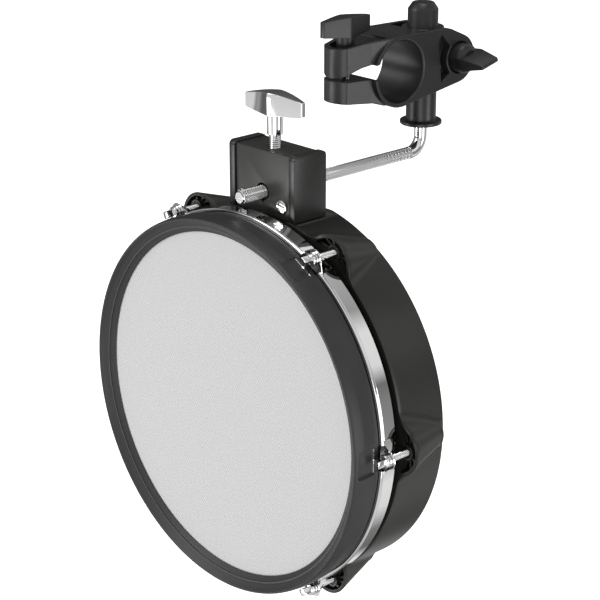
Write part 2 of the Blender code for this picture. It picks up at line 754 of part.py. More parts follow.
def make_l_rod():
    arm_z = DRUM_Z + ROD_Z
    bend_start = ROD_UPRIGHT_Y - BEND_R
    bend_centre = (bend_start, arm_z + BEND_R)
    points = [(0, ROD_FRONT, arm_z)]
    points += [(0, y, z) for y, z in arc(bend_centre, BEND_R, -90, 0, 7)]
    points.append((0, ROD_UPRIGHT_Y, ROD_TOP))
    return wire("l_rod", points, ROD_R, CHROME)


# ---------------------------------------------------------------- clamp

def jaw_plan(inset):
    """Top view of the jaws: a round nose, and flanks that widen towards the ring."""
    nose = arc((0, T_BOLT_Y), JAW_END_R - inset, 218, 322, 10)
    flank = [(x - inset, y) for x, y in JAW_FLANK]
    mirrored = [(-x, y) for x, y in reversed(flank)]
    return nose + flank + mirrored


def make_clamp_body():
    spine = circle_points((0, 0), SEAT_RING_R, 40)
    spine += circle_points((38, 4), 17, 32) + circle_points((50, 0.5), 15.3, 32)
    body = extruded("clamp_body", hull(spine), -CLAMP_HALF, CLAMP_HALF, CLAMP_PLASTIC,
                    (0, 0, 0), "X")
    jaws = extruded("jaws", [(-46, -14.9), (-20, -17), (-13, -19.2), (0, -19.5), (0, 21.9),
                             (-3, 21.9), (-27, 20.2), (-46, 17.4)],
                    -CLAMP_HALF, CLAMP_HALF, None, (0, 0, 0), "X")
    plan = extruded("clamp_plan", jaw_plan(0), -60, 60)
    boolean(jaws, "INTERSECT", plan)
    joined(body, jaws)
    flare = 0.8
    seat = turned("tube_seat", [(0, 25), (SEAT_R + flare, 25), (SEAT_R + flare, CLAMP_HALF),
                                (SEAT_R, CLAMP_HALF - flare), (SEAT_R, flare - CLAMP_HALF),
                                (SEAT_R + flare, -CLAMP_HALF), (SEAT_R + flare, -25), (0, -25)],
                  None, (0, 0, 0), "X", 48)
    slit = extruded("jaw_slit", [(-60, -1.2), (-10, -2.3), (-10, 8.5), (-28, 5.6), (-37, 2.6),
                                 (-43.2, -0.2), (-60, -0.2)], -30, 30, None, (0, 0, 0), "X")
    cut(body, seat, slit, make_front_channel())
    boss = cylinder("bolt_boss", 7, 9, 13.6, None, (0, T_BOLT_Y, 0), "Z", 20)
    joined(body, boss)
    bolt_hole = cylinder("t_bolt_hole", 3.4, -30, 30, None, (0, T_BOLT_Y, 0), "Z", 16)
    nut_seat = extruded("t_nut_seat", hexagon(11.6), -30, -9.5, None, (0, T_BOLT_Y, 0))
    cut(body, bolt_hole, nut_seat)
    channel = box("rear_channel", (-CHANNEL_HALF, 21, REAR_FLOOR), (CHANNEL_HALF, 75, 40),
                  None, 2, along(2))
    hole = cylinder("sleeve_hole", SLEEVE_R + GAP, -60, 60, None, (0, ROD_UPRIGHT_Y, 0), "Z", 32)
    split = box("pinch_slot", (-1.5, ROD_UPRIGHT_Y, -40), (1.5, 80, 40))
    pinch = cylinder("pinch_hole", 3.4, -40, 40, None, (0, PINCH_Y, PINCH_Z), "X", 16)
    cut(body, channel, hole, split, pinch, *make_side_pockets())
    return body


def make_front_channel():
    """The open trough in the upper jaw, in front of the ring of the seat."""
    ring = arc((0, 0), SEAT_RING_R, 154.6, 114, 6)
    outline = [(-50, 9.5)] + ring + [(ring[-1][0], 40), (-50, 40)]
    channel = extruded("front_channel", outline, -30, 30, None, (0, 0, 0), "X")
    plan = extruded("channel_plan", jaw_plan(JAW_WALL), -60, 60)
    return boolean(channel, "INTERSECT", plan)


def make_side_pockets():
    """Recesses round the pinch bolt and the pockets beside them, on both faces."""
    tools = []
    for side in (-1, 1):
        inner = 12.0 * side
        outer = 25.0 * side
        low = min(inner, outer)
        high = max(inner, outer)
        number = side + 2
        tools.append(cylinder(f"hub_recess_{number}", 10, low, high, None,
                              (0, PINCH_Y, PINCH_Z), "X", 28))
        ring_side = arc((PINCH_Y, PINCH_Z), 12, 228, 132, 8)
        outline = [(35.5, -12.5)] + ring_side[1:-1] + [(35.5, 17.5), (32.5, 14)]
        tools.append(extruded(f"side_pocket_{number}", outline, low, high, None,
                              (0, 0, 0), "X"))
    return tools


def make_sleeve():
    """The capped sleeve that guides the upright, and its stop ring."""
    bore = ROD_R + GAP
    flange = SLEEVE_R + 3.7
    roof = SLEEVE_TOP - 2
    profile = [
        (0, SLEEVE_TOP), (6.5, SLEEVE_TOP), (SLEEVE_R, SLEEVE_TOP - 4),
        (SLEEVE_R, SLEEVE_FOOT + 2.4), (flange, SLEEVE_FOOT + 2.4), (flange, SLEEVE_FOOT),
        (bore, SLEEVE_FOOT), (bore, roof), (0, roof),
    ]
    place = (0, ROD_UPRIGHT_Y, 0)
    sleeve = turned("rod_sleeve", profile, CLAMP_PLASTIC, place, "Z", 32)
    ring = tube("sleeve_ring", SLEEVE_R + GAP, flange, REAR_FLOOR + GAP, REAR_FLOOR + 2.1,
                CLAMP_PLASTIC, place, "Z", 32)
    return sleeve, ring


def make_t_bolt():
    """The T-knob that closes the jaws, its bolt and its nut."""
    place = (0, T_BOLT_Y, 0)
    seat = 13.6 + GAP
    stem = turned("t_knob", [(0, 25), (5.5, 25), (5.5, seat), (0, seat)], CLAMP_PLASTIC,
                  place, "Z", 20)
    wings = handle("t_knob_wings", 18.9, 5.7, (22.9, 35.8, 24.9, 34.4))
    wings.location = scaled(place)
    wings.rotation_euler = (0, 0, math.radians(88.3))
    joined(stem, wings)
    socket = cylinder("t_knob_socket", 3.0 + GAP, 5, 24, None, place, "Z", 16)
    cut(stem, socket)
    bolt = cylinder("t_bolt", 3.0, -15.5, 23.6, STEEL, place, "Z", 16)
    nut = extruded("t_nut", hexagon(11), -14.6, -9.8, STEEL, place)
    cut(nut, cylinder("t_nut_hole", 3.0 + GAP, -20, 0, None, place, "Z", 16))
    return stem, bolt, nut


def make_pinch():
    """The wing knob that pinches the sleeve, its bolt and its nut."""
    place = (0, PINCH_Y, PINCH_Z)
    profile = [(0, 27), (6.5, 27), (9.2, 24), (9.2, 12.3), (0, 12.3)]
    knob = turned("pinch_knob", profile, CLAMP_PLASTIC, place, "X", 24)
    blade = box("pinch_blade", (22, -9.2, -2.3), (43.3, 9.2, 2.3), None, 1.6)
    blade.location = scaled(((22 + 43.3) / 2, PINCH_Y, PINCH_Z))
    blade.rotation_euler = (math.radians(13.9), 0, 0)
    joined(knob, blade)
    cut(knob, cylinder("pinch_socket", 3.0 + GAP, 5, 22, None, place, "X", 16))
    bolt = cylinder("pinch_bolt", 3.0, -17.5, 21.6, STEEL, place, "X", 16)
    nut = extruded("pinch_nut", hexagon(11), -16.8, -12.3, STEEL, place, "X")
    cut(nut, cylinder("pinch_nut_hole", 3.0 + GAP, -30, 0, None, place, "X", 16))
    return knob, bolt, nut


# ------------------------------------------------------------- assembly

def build():
    pad_axis = axis_empty("pad_roll_axis", in_drum(0, 0, ROD_Z))
    v_block, nut_plate = make_rod_grip()
    pad = [make_shell(), *make_head(), make_tension_hoop(), make_rim_rubber(), v_block, nut_plate]
    pad += make_sensors() + make_mount_box() + make_box_screws(v_block)
    for number, angle in enumerate(LUG_ANGLES, 1):
        pad += make_tension_rod(number, angle)
    pad.append(make_wing_bolt())
    carry(pad_axis, *pad)
    carry(axis_empty("rod_arm_axis", in_drum(0, BOLT_Y, ROD_Z)), make_saddle())
    carry(axis_empty("rod_upright_axis", (0, ROD_UPRIGHT_Y, 0)), make_l_rod())
    make_clamp_body()
    make_sleeve()
    make_t_bolt()
    make_pinch()


build()
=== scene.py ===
import math

import bmesh
import bpy
from mathutils import Matrix, Vector
from mathutils.geometry import convex_hull_2d


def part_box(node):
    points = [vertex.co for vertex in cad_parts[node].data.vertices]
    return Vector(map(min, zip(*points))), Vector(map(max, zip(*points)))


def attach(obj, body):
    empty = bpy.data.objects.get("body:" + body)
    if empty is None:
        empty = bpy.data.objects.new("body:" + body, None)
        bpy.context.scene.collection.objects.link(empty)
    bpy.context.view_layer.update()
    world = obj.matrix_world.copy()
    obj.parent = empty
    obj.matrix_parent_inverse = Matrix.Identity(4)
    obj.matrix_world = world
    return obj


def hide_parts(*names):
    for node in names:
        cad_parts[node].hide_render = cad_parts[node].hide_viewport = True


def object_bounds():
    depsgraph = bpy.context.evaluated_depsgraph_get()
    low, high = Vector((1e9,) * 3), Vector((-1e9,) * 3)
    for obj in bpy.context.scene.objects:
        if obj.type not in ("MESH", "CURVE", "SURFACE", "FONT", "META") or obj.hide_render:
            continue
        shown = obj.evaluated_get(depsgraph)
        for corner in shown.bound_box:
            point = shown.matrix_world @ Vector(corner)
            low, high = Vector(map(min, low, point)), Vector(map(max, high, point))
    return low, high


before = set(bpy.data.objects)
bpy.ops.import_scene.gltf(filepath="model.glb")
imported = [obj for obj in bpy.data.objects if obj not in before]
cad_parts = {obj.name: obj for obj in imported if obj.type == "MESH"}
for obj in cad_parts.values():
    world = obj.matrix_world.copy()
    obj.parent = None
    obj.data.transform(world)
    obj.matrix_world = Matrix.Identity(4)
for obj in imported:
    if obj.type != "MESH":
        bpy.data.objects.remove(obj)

# Lengths here are millimetres and meshes are metres. Every mesh is drawn in the row frame.
MM = 0.001
GAP = 0.3

cad_low, cad_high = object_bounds()


# ------------------------------------------------------- places read from the frame

def span(node):
    """Lowest and highest corner of a CAD node, in millimetres."""
    low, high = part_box(node)
    return low / MM, high / MM


def middle(node):
    low, high = span(node)
    return (low + high) / 2


FACE_Y = span("mesh_head")[0].y - GAP
DRUM = Vector((0, FACE_Y, middle("mesh_head").z))
SHELL_BACK = span("shell")[1].y - FACE_Y
ROD_R = 4.0
ROD = Vector((0, 0, span("l_rod")[0].z + ROD_R))
UPRIGHT_Y = middle("rod_sleeve").y
BOLT_Y = middle("saddle").y - 1.5    # the bolt stands in front of the saddle's middle
T_BOLT_Y = middle("t_bolt").y
PINCH = middle("pinch_bolt")
BOX_LOW, BOX_HIGH = span("mount_box")

RING_STEPS = 300
LUG_ANGLES = (0, 60, 120, 180, 240, 300)
LUG_R = 121.0
BOSS_FRONT = (130.0, 17.0, 13.0)    # outermost point, radius and fillet of a lug boss
BOSS_BACK = (120.4, 11.0, 9.0)      # the same where its taper ends
BOSS_TAPER_END = 60.0
BOSS_END = 64.3
POCKET_DEPTH = 8.0
HUB_R = 4.6
EAR_FRONT = 14.9
EAR_NOSE_R = 5.6
SHELL_R = 116.5
SHELL_FRONT = 30.0
NECK_R = 109.0
WALL = 3.0
SKIRT_R = 109.9
HOOP_R = 117.2
HOOP_FRONT = 13.4
HOOP_BACK = 25.1
SEAT_R = 19.2
SLEEVE_R = 9.5
FLANGE_R = 13.2
CLAMP_HALF = 18.0
JAW_END_R = 12.7
JAW_WALL = 3.3
JAW_FLANK = [(13.6, -21), (16.5, -12), (17.9, -8), (17.9, 30)]
JAW_SIDE = [(-46, -14.9), (-20, -17), (-13, -19.2), (0, -19.5), (0, 21.9), (-3, 21.9),
            (-27, 20.2), (-46, 17.4)]
JAW_SLIT = [(-60, -1.2), (-10, -2.3), (-10, 8.5), (-28, 5.6), (-37, 2.6), (-43.2, -0.2),
            (-60, -0.2)]
SEAT_RING_R = 22.0
FAR = 60    # beyond every face of the clamp, for cutters that go right through


# ------------------------------------------------------- mesh helpers

def mesh_piece(name, verts, faces):
    mesh = bpy.data.meshes.new(name)
    mesh.from_pydata([Vector(v) * MM for v in verts], [], faces)
    shape = bmesh.new()
    shape.from_mesh(mesh)
    bmesh.ops.remove_doubles(shape, verts=shape.verts, dist=0.0000005)
    bmesh.ops.recalc_face_normals(shape, faces=shape.faces)
    shape.to_mesh(mesh)
    shape.free()
    piece = bpy.data.objects.new(name, mesh)
    bpy.context.scene.collection.objects.link(piece)
    return piece


def through(name, rows, closed=False):
    """A skin through rings that have the same number of points, capped unless closed."""
    count = len(rows[0])
    verts = [p for row in rows for p in row]
    faces = []
    last = len(rows) if closed else len(rows) - 1
    for i in range(last):
        a = i * count
        b = (i + 1) % len(rows) * count
        for j in range(count):
            k = (j + 1) % count
            faces.append((a + j, a + k, b + k, b + j))
    if not closed:
        faces.append(tuple(range(count)))
        faces.append(tuple(range(len(verts) - count, len(verts))))
    return mesh_piece(name, verts, faces)


def on_axis(axis, centre, radius, angle, height):
    """A point at a radius and angle round an axis, at a height along it."""
    u = radius * math.cos(angle)
    v = radius * math.sin(angle)
    if axis == "X":
        offset = (height, u, v)
    elif axis == "Y":
        offset = (u, height, v)
    else:
        offset = (u, v, height)
    return Vector(centre) + Vector(offset)


def lathe(name, profile, centre=(0, 0, 0), axis="Z", steps=48, closed=False):
    """A turned solid. A profile is (radius, height) points."""
    rows = []
    for radius, height in profile:
        turn = [2 * math.pi * i / steps for i in range(steps)]
        rows.append([on_axis(axis, centre, radius, a, height) for a in turn])
    return through(name, rows, closed)


def rod(name, radius, low, high, centre=(0, 0, 0), axis="Z", steps=48, chamfer=0.0):
    """A round bar with its two end edges cut by a chamfer."""
    profile = [(radius, low + chamfer), (radius, high - chamfer)]
    if chamfer:
        profile = [(radius - chamfer, low), *profile, (radius - chamfer, high)]
    return lathe(name, profile, centre, axis, steps)


def prism(name, outline, low, high, axis="Z", centre=(0, 0, 0)):
    """An outline in (y, z), (x, z) or (x, y) carried along X, Y or Z."""
    rows = []
    for height in (low, high):
        if axis == "X":
            row = [Vector((height, u, v)) for u, v in outline]
        elif axis == "Y":
            row = [Vector((u, height, v)) for u, v in outline]
        else:
            row = [Vector((u, v, height)) for u, v in outline]
        rows.append([Vector(centre) + p for p in row])
    return through(name, rows)


def block(name, low, high, rounding=0.0, axis=None, segments=3):
    """A block between two corners with all its edges rounded, or those along one axis."""
    low = Vector(low)
    high = Vector(high)
    verts = [(x, y, z) for x in (low.x, high.x) for y in (low.y, high.y) for z in (low.z, high.z)]
    faces = [(0, 1, 3, 2), (4, 6, 7, 5), (0, 4, 5, 1), (2, 3, 7, 6), (0, 2, 6, 4), (1, 5, 7, 3)]
    piece = mesh_piece(name, verts, faces)
    if rounding:
        shape = bmesh.new()
        shape.from_mesh(piece.data)
        chosen = []
        for edge in shape.edges:
            way = edge.verts[0].co - edge.verts[1].co
            if axis is None or abs(way[axis]) > 0.99 * way.length:
                chosen.append(edge)
        bmesh.ops.bevel(shape, geom=chosen, offset=rounding * MM, segments=segments,
                        affect="EDGES", profile=0.5)
        shape.to_mesh(piece.data)
        shape.free()
    return piece


def settle(piece):
    """Applies a piece's modifiers."""
    bpy.context.view_layer.update()
    graph = bpy.context.evaluated_depsgraph_get()
    mesh = bpy.data.meshes.new_from_object(piece.evaluated_get(graph))
    piece.modifiers.clear()
    old = piece.data
    piece.data = mesh
    bpy.data.meshes.remove(old)
    return piece


def combine(piece, operation, *tools):
    for tool in tools:
        change = piece.modifiers.new("combine", "BOOLEAN")
        change.operation = operation
        change.object = tool
        change.solver = "EXACT"
    settle(piece)
    for tool in tools:
        bpy.data.objects.remove(tool, do_unlink=True)
    return piece


def cut(piece, *tools):
    return combine(piece, "DIFFERENCE", *tools)


def join(piece, *tools):
    return combine(piece, "UNION", *tools)


def keep_common(piece, *tools):
    return combine(piece, "INTERSECT", *tools)


def merge(piece, *others):
    """Puts separate shapes into one piece without a Boolean."""
    shape = bmesh.new()
    for source in (piece, *others):
        shape.from_mesh(source.data)
    shape.to_mesh(piece.data)
    shape.free()
    for other in others:
        bpy.data.objects.remove(other, do_unlink=True)
    return piece


def turned(piece, angle, centre, axis):
    """Turns a piece's mesh about an axis through a point."""
    pivot = Matrix.Translation(Vector(centre) * MM)
    turn = Matrix.Rotation(math.radians(angle), 4, axis)
    piece.data.transform(pivot @ turn @ pivot.inverted())
    return piece


def round_lugs(piece):
    """Six copies, round the drum, of what is drawn at the lug at angle 0."""
    copies = []
    for angle in LUG_ANGLES[1:]:
        copy = bpy.data.objects.new(piece.name, piece.data.copy())
        bpy.context.scene.collection.objects.link(copy)
        copies.append(turned(copy, -angle, DRUM, "Y"))
    return merge(piece, *copies)


def soften(piece, voxel, passes):
    """Remeshes a plastic moulding so that all its edges get a small radius."""
    remesh = piece.modifiers.new("remesh", "REMESH")
    remesh.mode = "VOXEL"
    remesh.voxel_size = voxel * MM
    smooth = piece.modifiers.new("smooth", "SMOOTH")
    smooth.factor = 0.5
    smooth.iterations = passes
    return settle(piece)


def bevel(piece, width, segments=2, angle=35):
    change = piece.modifiers.new("bevel", "BEVEL")
    change.width = width * MM
    change.segments = segments
    change.limit_method = "ANGLE"
    change.angle_limit = math.radians(angle)
    change.use_clamp_overlap = True
    return settle(piece)


def shade(piece, angle=30):
    piece.data.shade_smooth()
    piece.data.set_sharp_from_angle(angle=math.radians(angle))
    return piece


def arc(centre, radius, start, end, count):
    points = []
    for i in range(count + 1):
        a = math.radians(start + (end - start) * i / count)
        points.append((centre[0] + radius * math.cos(a), centre[1] + radius * math.sin(a)))
    return points


def curve_through(points, share=6):
    """A smooth line through points, with its ends kept."""
    ends = [points[0], *points, points[-1]]
    line = []
    for a, b, c, d in zip(ends, ends[1:], ends[2:], ends[3:]):
        for i in range(share):
            t = i / share
            line.append(tuple(0.5 * (2 * q + (r - p) * t + (2 * p - 5 * q + 4 * r - s) * t * t
                                     + (3 * q - p - 3 * r + s) * t ** 3)
                              for p, q, r, s in zip(a, b, c, d)))
    line.append(points[-1])
    return line


def threaded(name, radius, depth, pitch, low, high, centre, axis, steps=32, sink=1.0):
    """A rod with a screw thread, whose ends taper in by sink."""
    rows = []
    count = max(4, round((high - low) / pitch * 8))
    for i in range(count + 1):
        height = low + (high - low) * i / count
        ends = min(1.0, (height - low) / sink + 0.6, (high - height) / sink + 0.6)
        row = []
        for j in range(steps):
            angle = 2 * math.pi * j / steps
            phase = (height / pitch - angle / (2 * math.pi)) % 1
            groove = 1 - abs(2 * phase - 1)
            row.append(on_axis(axis, centre, (radius - depth * groove) * ends, angle, height))
        rows.append(row)
    return through(name, rows)


# ------------------------------------------------------- materials

def node(tree, kind, settings=None, **inputs):
    made = tree.nodes.new("ShaderNode" + kind)
    for key, value in (settings or {}).items():
        setattr(made, key, value)
    for key, value in inputs.items():
        wanted = key.replace("_", " ")
        socket = next(s for s in made.inputs if s.name == wanted and s.enabled)
        if isinstance(value, bpy.types.NodeSocket):
            tree.links.new(value, socket)
        else:
            socket.default_value = value
    return made


def ramp(tree, fac, stops):
    made = node(tree, "ValToRGB", Fac=fac)
    for i, (place, colour) in enumerate(stops):
        if i < 2:
            stop = made.color_ramp.elements[i]
            stop.position = place
        else:
            stop = made.color_ramp.elements.new(place)
        stop.color = (*colour, 1)
    return made.outputs["Color"]


def grey(value):
    return (value, value, value)


def look(name, metallic=0.0, **constants):
    """A material, its node tree, its shader and the object coordinates."""
    material = bpy.data.materials.new(name)
    material.use_nodes = True
    tree = material.node_tree
    shader = tree.nodes["Principled BSDF"]
    shader.inputs["Metallic"].default_value = metallic
    for key, value in constants.items():
        shader.inputs[key.replace("_", " ")].default_value = value
    place = node(tree, "TexCoord").outputs["Object"]
    return material, tree, shader, place


def moulded(name, base, light, rough, grain=900, bump=0.04, blotch=35):
    """Moulded plastic or rubber: fine grain and soft blotches."""
    material, tree, shader, place = look(name)
    clouds = node(tree, "TexNoise", Vector=place, Scale=blotch, Detail=4.0).outputs["Fac"]
    fine = node(tree, "TexNoise", Vector=place, Scale=grain, Detail=3.0).outputs["Fac"]
    colour = ramp(tree, clouds, [(0.3, base), (0.7, light)])
    tree.links.new(colour, shader.inputs["Base Color"])
    spread = node(tree, "MapRange", Value=fine, To_Min=rough - 0.06, To_Max=rough + 0.08)
    tree.links.new(spread.outputs["Result"], shader.inputs["Roughness"])
    ridges = node(tree, "Bump", Height=fine, Strength=bump, Distance=0.0004)
    tree.links.new(ridges.outputs["Normal"], shader.inputs["Normal"])
    return material


def plated(name, base, rough, streak=0.03, scale=60):
    """Bright plating with faint polishing haze."""
    material, tree, shader, place = look(name, metallic=1.0)
    haze = node(tree, "TexNoise", Vector=place, Scale=scale, Detail=5.0).outputs["Fac"]
    colour = ramp(tree, haze, [(0.2, grey(base * 0.93)), (0.8, grey(base))])
    tree.links.new(colour, shader.inputs["Base Color"])
    spread = node(tree, "MapRange", Value=haze, To_Min=rough, To_Max=rough + streak)
    tree.links.new(spread.outputs["Result"], shader.inputs["Roughness"])
    fine = node(tree, "TexNoise", Vector=place, Scale=700.0, Detail=2.0).outputs["Fac"]
    ridges = node(tree, "Bump", Height=fine, Strength=0.01, Distance=0.0002)
    tree.links.new(ridges.outputs["Normal"], shader.inputs["Normal"])
    return material


def brushed(name, colour, rough):
    material, tree, shader, place = look(name, metallic=1.0)
    stretched = node(tree, "Mapping", Vector=place, Scale=(60.0, 900.0, 900.0)).outputs["Vector"]
    lines = node(tree, "TexNoise", Vector=stretched, Scale=1.0, Detail=3.0).outputs["Fac"]
    darker = tuple(c * 0.8 for c in colour)
    tree.links.new(ramp(tree, lines, [(0.3, darker), (0.7, colour)]), shader.inputs["Base Color"])
    spread = node(tree, "MapRange", Value=lines, To_Min=rough - 0.08, To_Max=rough + 0.1)
    tree.links.new(spread.outputs["Result"], shader.inputs["Roughness"])
    return material


def threads(tree, parts, sign, pitch):
    """Parallel ridges across the XZ plane, at 45 degrees to X, from -1 to 1."""
    slant = node(tree, "Math", {"operation": "MULTIPLY_ADD"})
    tree.links.new(parts.outputs["X"], slant.inputs[0])
    slant.inputs[1].default_value = sign
    tree.links.new(parts.outputs["Z"], slant.inputs[2])
    phase = node(tree, "Math", {"operation": "MULTIPLY"})
    tree.links.new(slant.outputs[0], phase.inputs[0])
    phase.inputs[1].default_value = 2 * math.pi / (pitch * math.sqrt(2))
    wave = node(tree, "Math", {"operation": "SINE"})
    tree.links.new(phase.outputs[0], wave.inputs[0])
    return wave.outputs[0]


def blended(tree, kind, share, a, b):
    """Two values or colours in a Mix node."""
    index = {"FLOAT": (2, 3, 0), "RGBA": (6, 7, 2)}[kind]
    mixed = node(tree, "Mix", {"data_type": kind})
    if isinstance(share, float):
        mixed.inputs[0].default_value = share
    else:
        tree.links.new(share, mixed.inputs[0])
    tree.links.new(a, mixed.inputs[index[0]])
    tree.links.new(b, mixed.inputs[index[1]])
    return mixed.outputs[index[2]]


def woven(name):
    """Tight mesh cloth: fine threads that cross on the slant under a broader twill."""
    material, tree, shader, place = look(name)
    parts = node(tree, "SeparateXYZ", Vector=place)
    fine = node(tree, "Math", {"operation": "MAXIMUM"})
    tree.links.new(threads(tree, parts, 1, 0.0009), fine.inputs[0])
    tree.links.new(threads(tree, parts, -1, 0.0009), fine.inputs[1])
    twill = threads(tree, parts, 1, 0.0020)
    height = blended(tree, "FLOAT", 0.45, fine.outputs[0], twill)
    speck = node(tree, "TexNoise", Vector=place, Scale=900.0, Detail=2.0).outputs["Fac"]
    spread = node(tree, "MapRange", Value=height, From_Min=-1.0, From_Max=1.0)
    mottled = blended(tree, "FLOAT", 0.45, spread.outputs["Result"], speck)
    colour = ramp(tree, mottled, [(0.22, grey(0.42)), (0.78, grey(0.62))])
    tree.links.new(colour, shader.inputs["Base Color"])
    shader.inputs["Roughness"].default_value = 0.75
    shader.inputs["Sheen Weight"].default_value = 0.1
    ridges = node(tree, "Bump", Height=height, Strength=0.25, Distance=0.0002)
    tree.links.new(ridges.outputs["Normal"], shader.inputs["Normal"])
    return material


def knurled(name, arm_z):
    """Plating of the rod, with painted shade that darkens the knurl's grooves, found by their distance
    from the arm's axis.
    """
    material, tree, shader, place = look(name, metallic=1.0, Roughness=0.1)
    parts = node(tree, "SeparateXYZ", Vector=place)
    across = node(tree, "CombineXYZ", X=parts.outputs["X"], Y=parts.outputs["Z"])
    offset = node(tree, "VectorMath", {"operation": "SUBTRACT"}, Vector=across.outputs[0])
    offset.inputs[1].default_value = (0, arm_z * MM, 0)
    reach = node(tree, "VectorMath", {"operation": "LENGTH"}, Vector=offset.outputs[0])
    # Painted shade: the knurl's grooves, nearer the arm's axis, are coloured dark grey; the peaks keep
    # the bright plating grey.
    groove_shade = node(tree, "MapRange", Value=reach.outputs["Value"], From_Min=0.0032, From_Max=0.0038)
    colour = ramp(tree, groove_shade.outputs["Result"], [(0.25, grey(0.80)), (0.35, grey(0.08)),
                                                  (0.62, grey(0.12)), (0.97, grey(0.86))])
    tree.links.new(colour, shader.inputs["Base Color"])
    return material


LOOKS = {
    "knurled": knurled("knurled_chrome", ROD.z),
    "shell": moulded("shell_plastic", (0.0125, 0.0122, 0.0105), (0.017, 0.0165, 0.014), 0.34),
    "box": moulded("box_plastic", (0.024, 0.024, 0.022), (0.030, 0.030, 0.027), 0.34),
    "plate": moulded("plate_plastic", (0.011, 0.011, 0.010), (0.015, 0.015, 0.014), 0.30),
    "clamp": moulded("clamp_nylon", grey(0.0115), grey(0.016), 0.33),
    "knob": moulded("knob_plastic", grey(0.013), grey(0.018), 0.34),
    "rubber": moulded("rim_rubber", grey(0.018), grey(0.024), 0.46, 1400, 0.06),
    "foam": moulded("foam", grey(0.07), grey(0.11), 0.9, 1200, 0.5, 300),
    "wire": moulded("lead_sleeve", (0.30, 0.02, 0.02), (0.36, 0.03, 0.03), 0.5),
    "mesh": woven("mesh_cloth"),
    "chrome": plated("chrome", 0.86, 0.03),
    "steel": brushed("zinc_steel", (0.55, 0.55, 0.56), 0.30),
    "brass": brushed("brass", (0.70, 0.52, 0.25), 0.3),
    "blackened": brushed("blackened_steel", grey(0.06), 0.45),
}


def show(piece, body, look_name, slot, *nodes, angle=30):
    """Gives a piece its finish and body, and hides the CAD nodes it stands for."""
    shade(piece, angle)
    piece.data.materials.clear()
    piece.data.materials.append(LOOKS[look_name])
    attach(piece, body)
    if nodes:
        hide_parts(*nodes)
    return piece


# ------------------------------------------------------- drum

def at_drum(x, depth, z):
    return Vector((DRUM.x + x, FACE_Y + depth, DRUM.z + z))


def make_head():
    outer = SKIRT_R
    inner = SKIRT_R - 0.6
    skirt = 17.0
    edge = 1.6
    ply = 0.6
    hole = 4
    spread = (95, 70, 45, 20, hole)
    outside = [(outer, skirt), (outer, 2.2)]
    outside += arc((outer - edge, GAP + edge), edge, 0, -90, 6)[1:]
    inside = arc((inner - 1.2, GAP + ply + 1.2), 1.2, -90, 0, 6) + [(inner, skirt)]
    face = [(radius, GAP) for radius in spread]
    back = [(radius, GAP + ply) for radius in reversed(spread)]
    disc = lathe("mesh_head_cloth", outside + face + back + inside, DRUM, "Y", RING_STEPS, closed=True)
    shape = bmesh.new()
    shape.from_mesh(disc.data)
    centre = Vector((DRUM.x, DRUM.z)) * MM
    reach = (hole + 0.01) * MM
    rim = [f for f in shape.faces if all((v.co.xz - centre).length < reach for v in f.verts)]
    bmesh.ops.delete(shape, geom=rim, context="FACES_ONLY")
    open_edges = [e for e in shape.edges if e.is_boundary]
    bmesh.ops.holes_fill(shape, edges=open_edges)
    bmesh.ops.recalc_face_normals(shape, faces=shape.faces)
    shape.to_mesh(disc.data)
    shape.free()
    show(disc, "pad", "mesh", "mesh_fabric", "mesh_head")


def lug_cutter(name, low, high, rounding):
    """Blocks at the six lugs, given as (radius, depth, along the rim)."""
    return round_lugs(block(name, Vector(low) + DRUM, Vector(high) + DRUM, rounding, 0, 5))


def rim_notches():
    """Recesses of the rim at the lugs, whose walls lean outwards."""
    corner = 1.6
    rows = []
    for radius, half, front in ((115.3, 7.4, -3.7), (117.3, 9.1, -4.5), (122, 13.1, -6.4)):
        outline = [(20, -half)] + arc((front + corner, corner - half), corner, 270, 180, 6)
        outline += arc((front + corner, half - corner), corner, 180, 90, 6) + [(20, half)]
        rows.append([at_drum(radius, depth, z) for depth, z in outline])
    return round_lugs(through("rim_notches", rows))


def make_rim_rubber():
    outer = curve_through([(116.9, 8.6), (117.1, 5.0), (117.35, 1.5), (117.4, -0.3),
                           (117.1, -3.3), (116.6, -5.9), (115.9, -6.9), (115.0, -6.6),
                           (113.3, -5.0),
                           (111.3, -3.6), (109.2, -1.9), (107.5, -0.75), (107.05, -0.3)])
    slot_in = SKIRT_R + 0.2
    slot_out = SKIRT_R + 2.3
    profile = [(115.8, 12.9), (115.8, 9.1), (116.7, 8.9)] + outer
    profile += [(107.2, 0), (slot_in, 0), (slot_in, -3.3), (slot_out, -3.3), (slot_out, 12.9)]
    rim = lathe("rim_cover", profile, DRUM, "Y", RING_STEPS, closed=True)
    cut(rim, rim_notches())
    show(rim, "pad", "rubber", "rim_rubber", "rim_rubber")


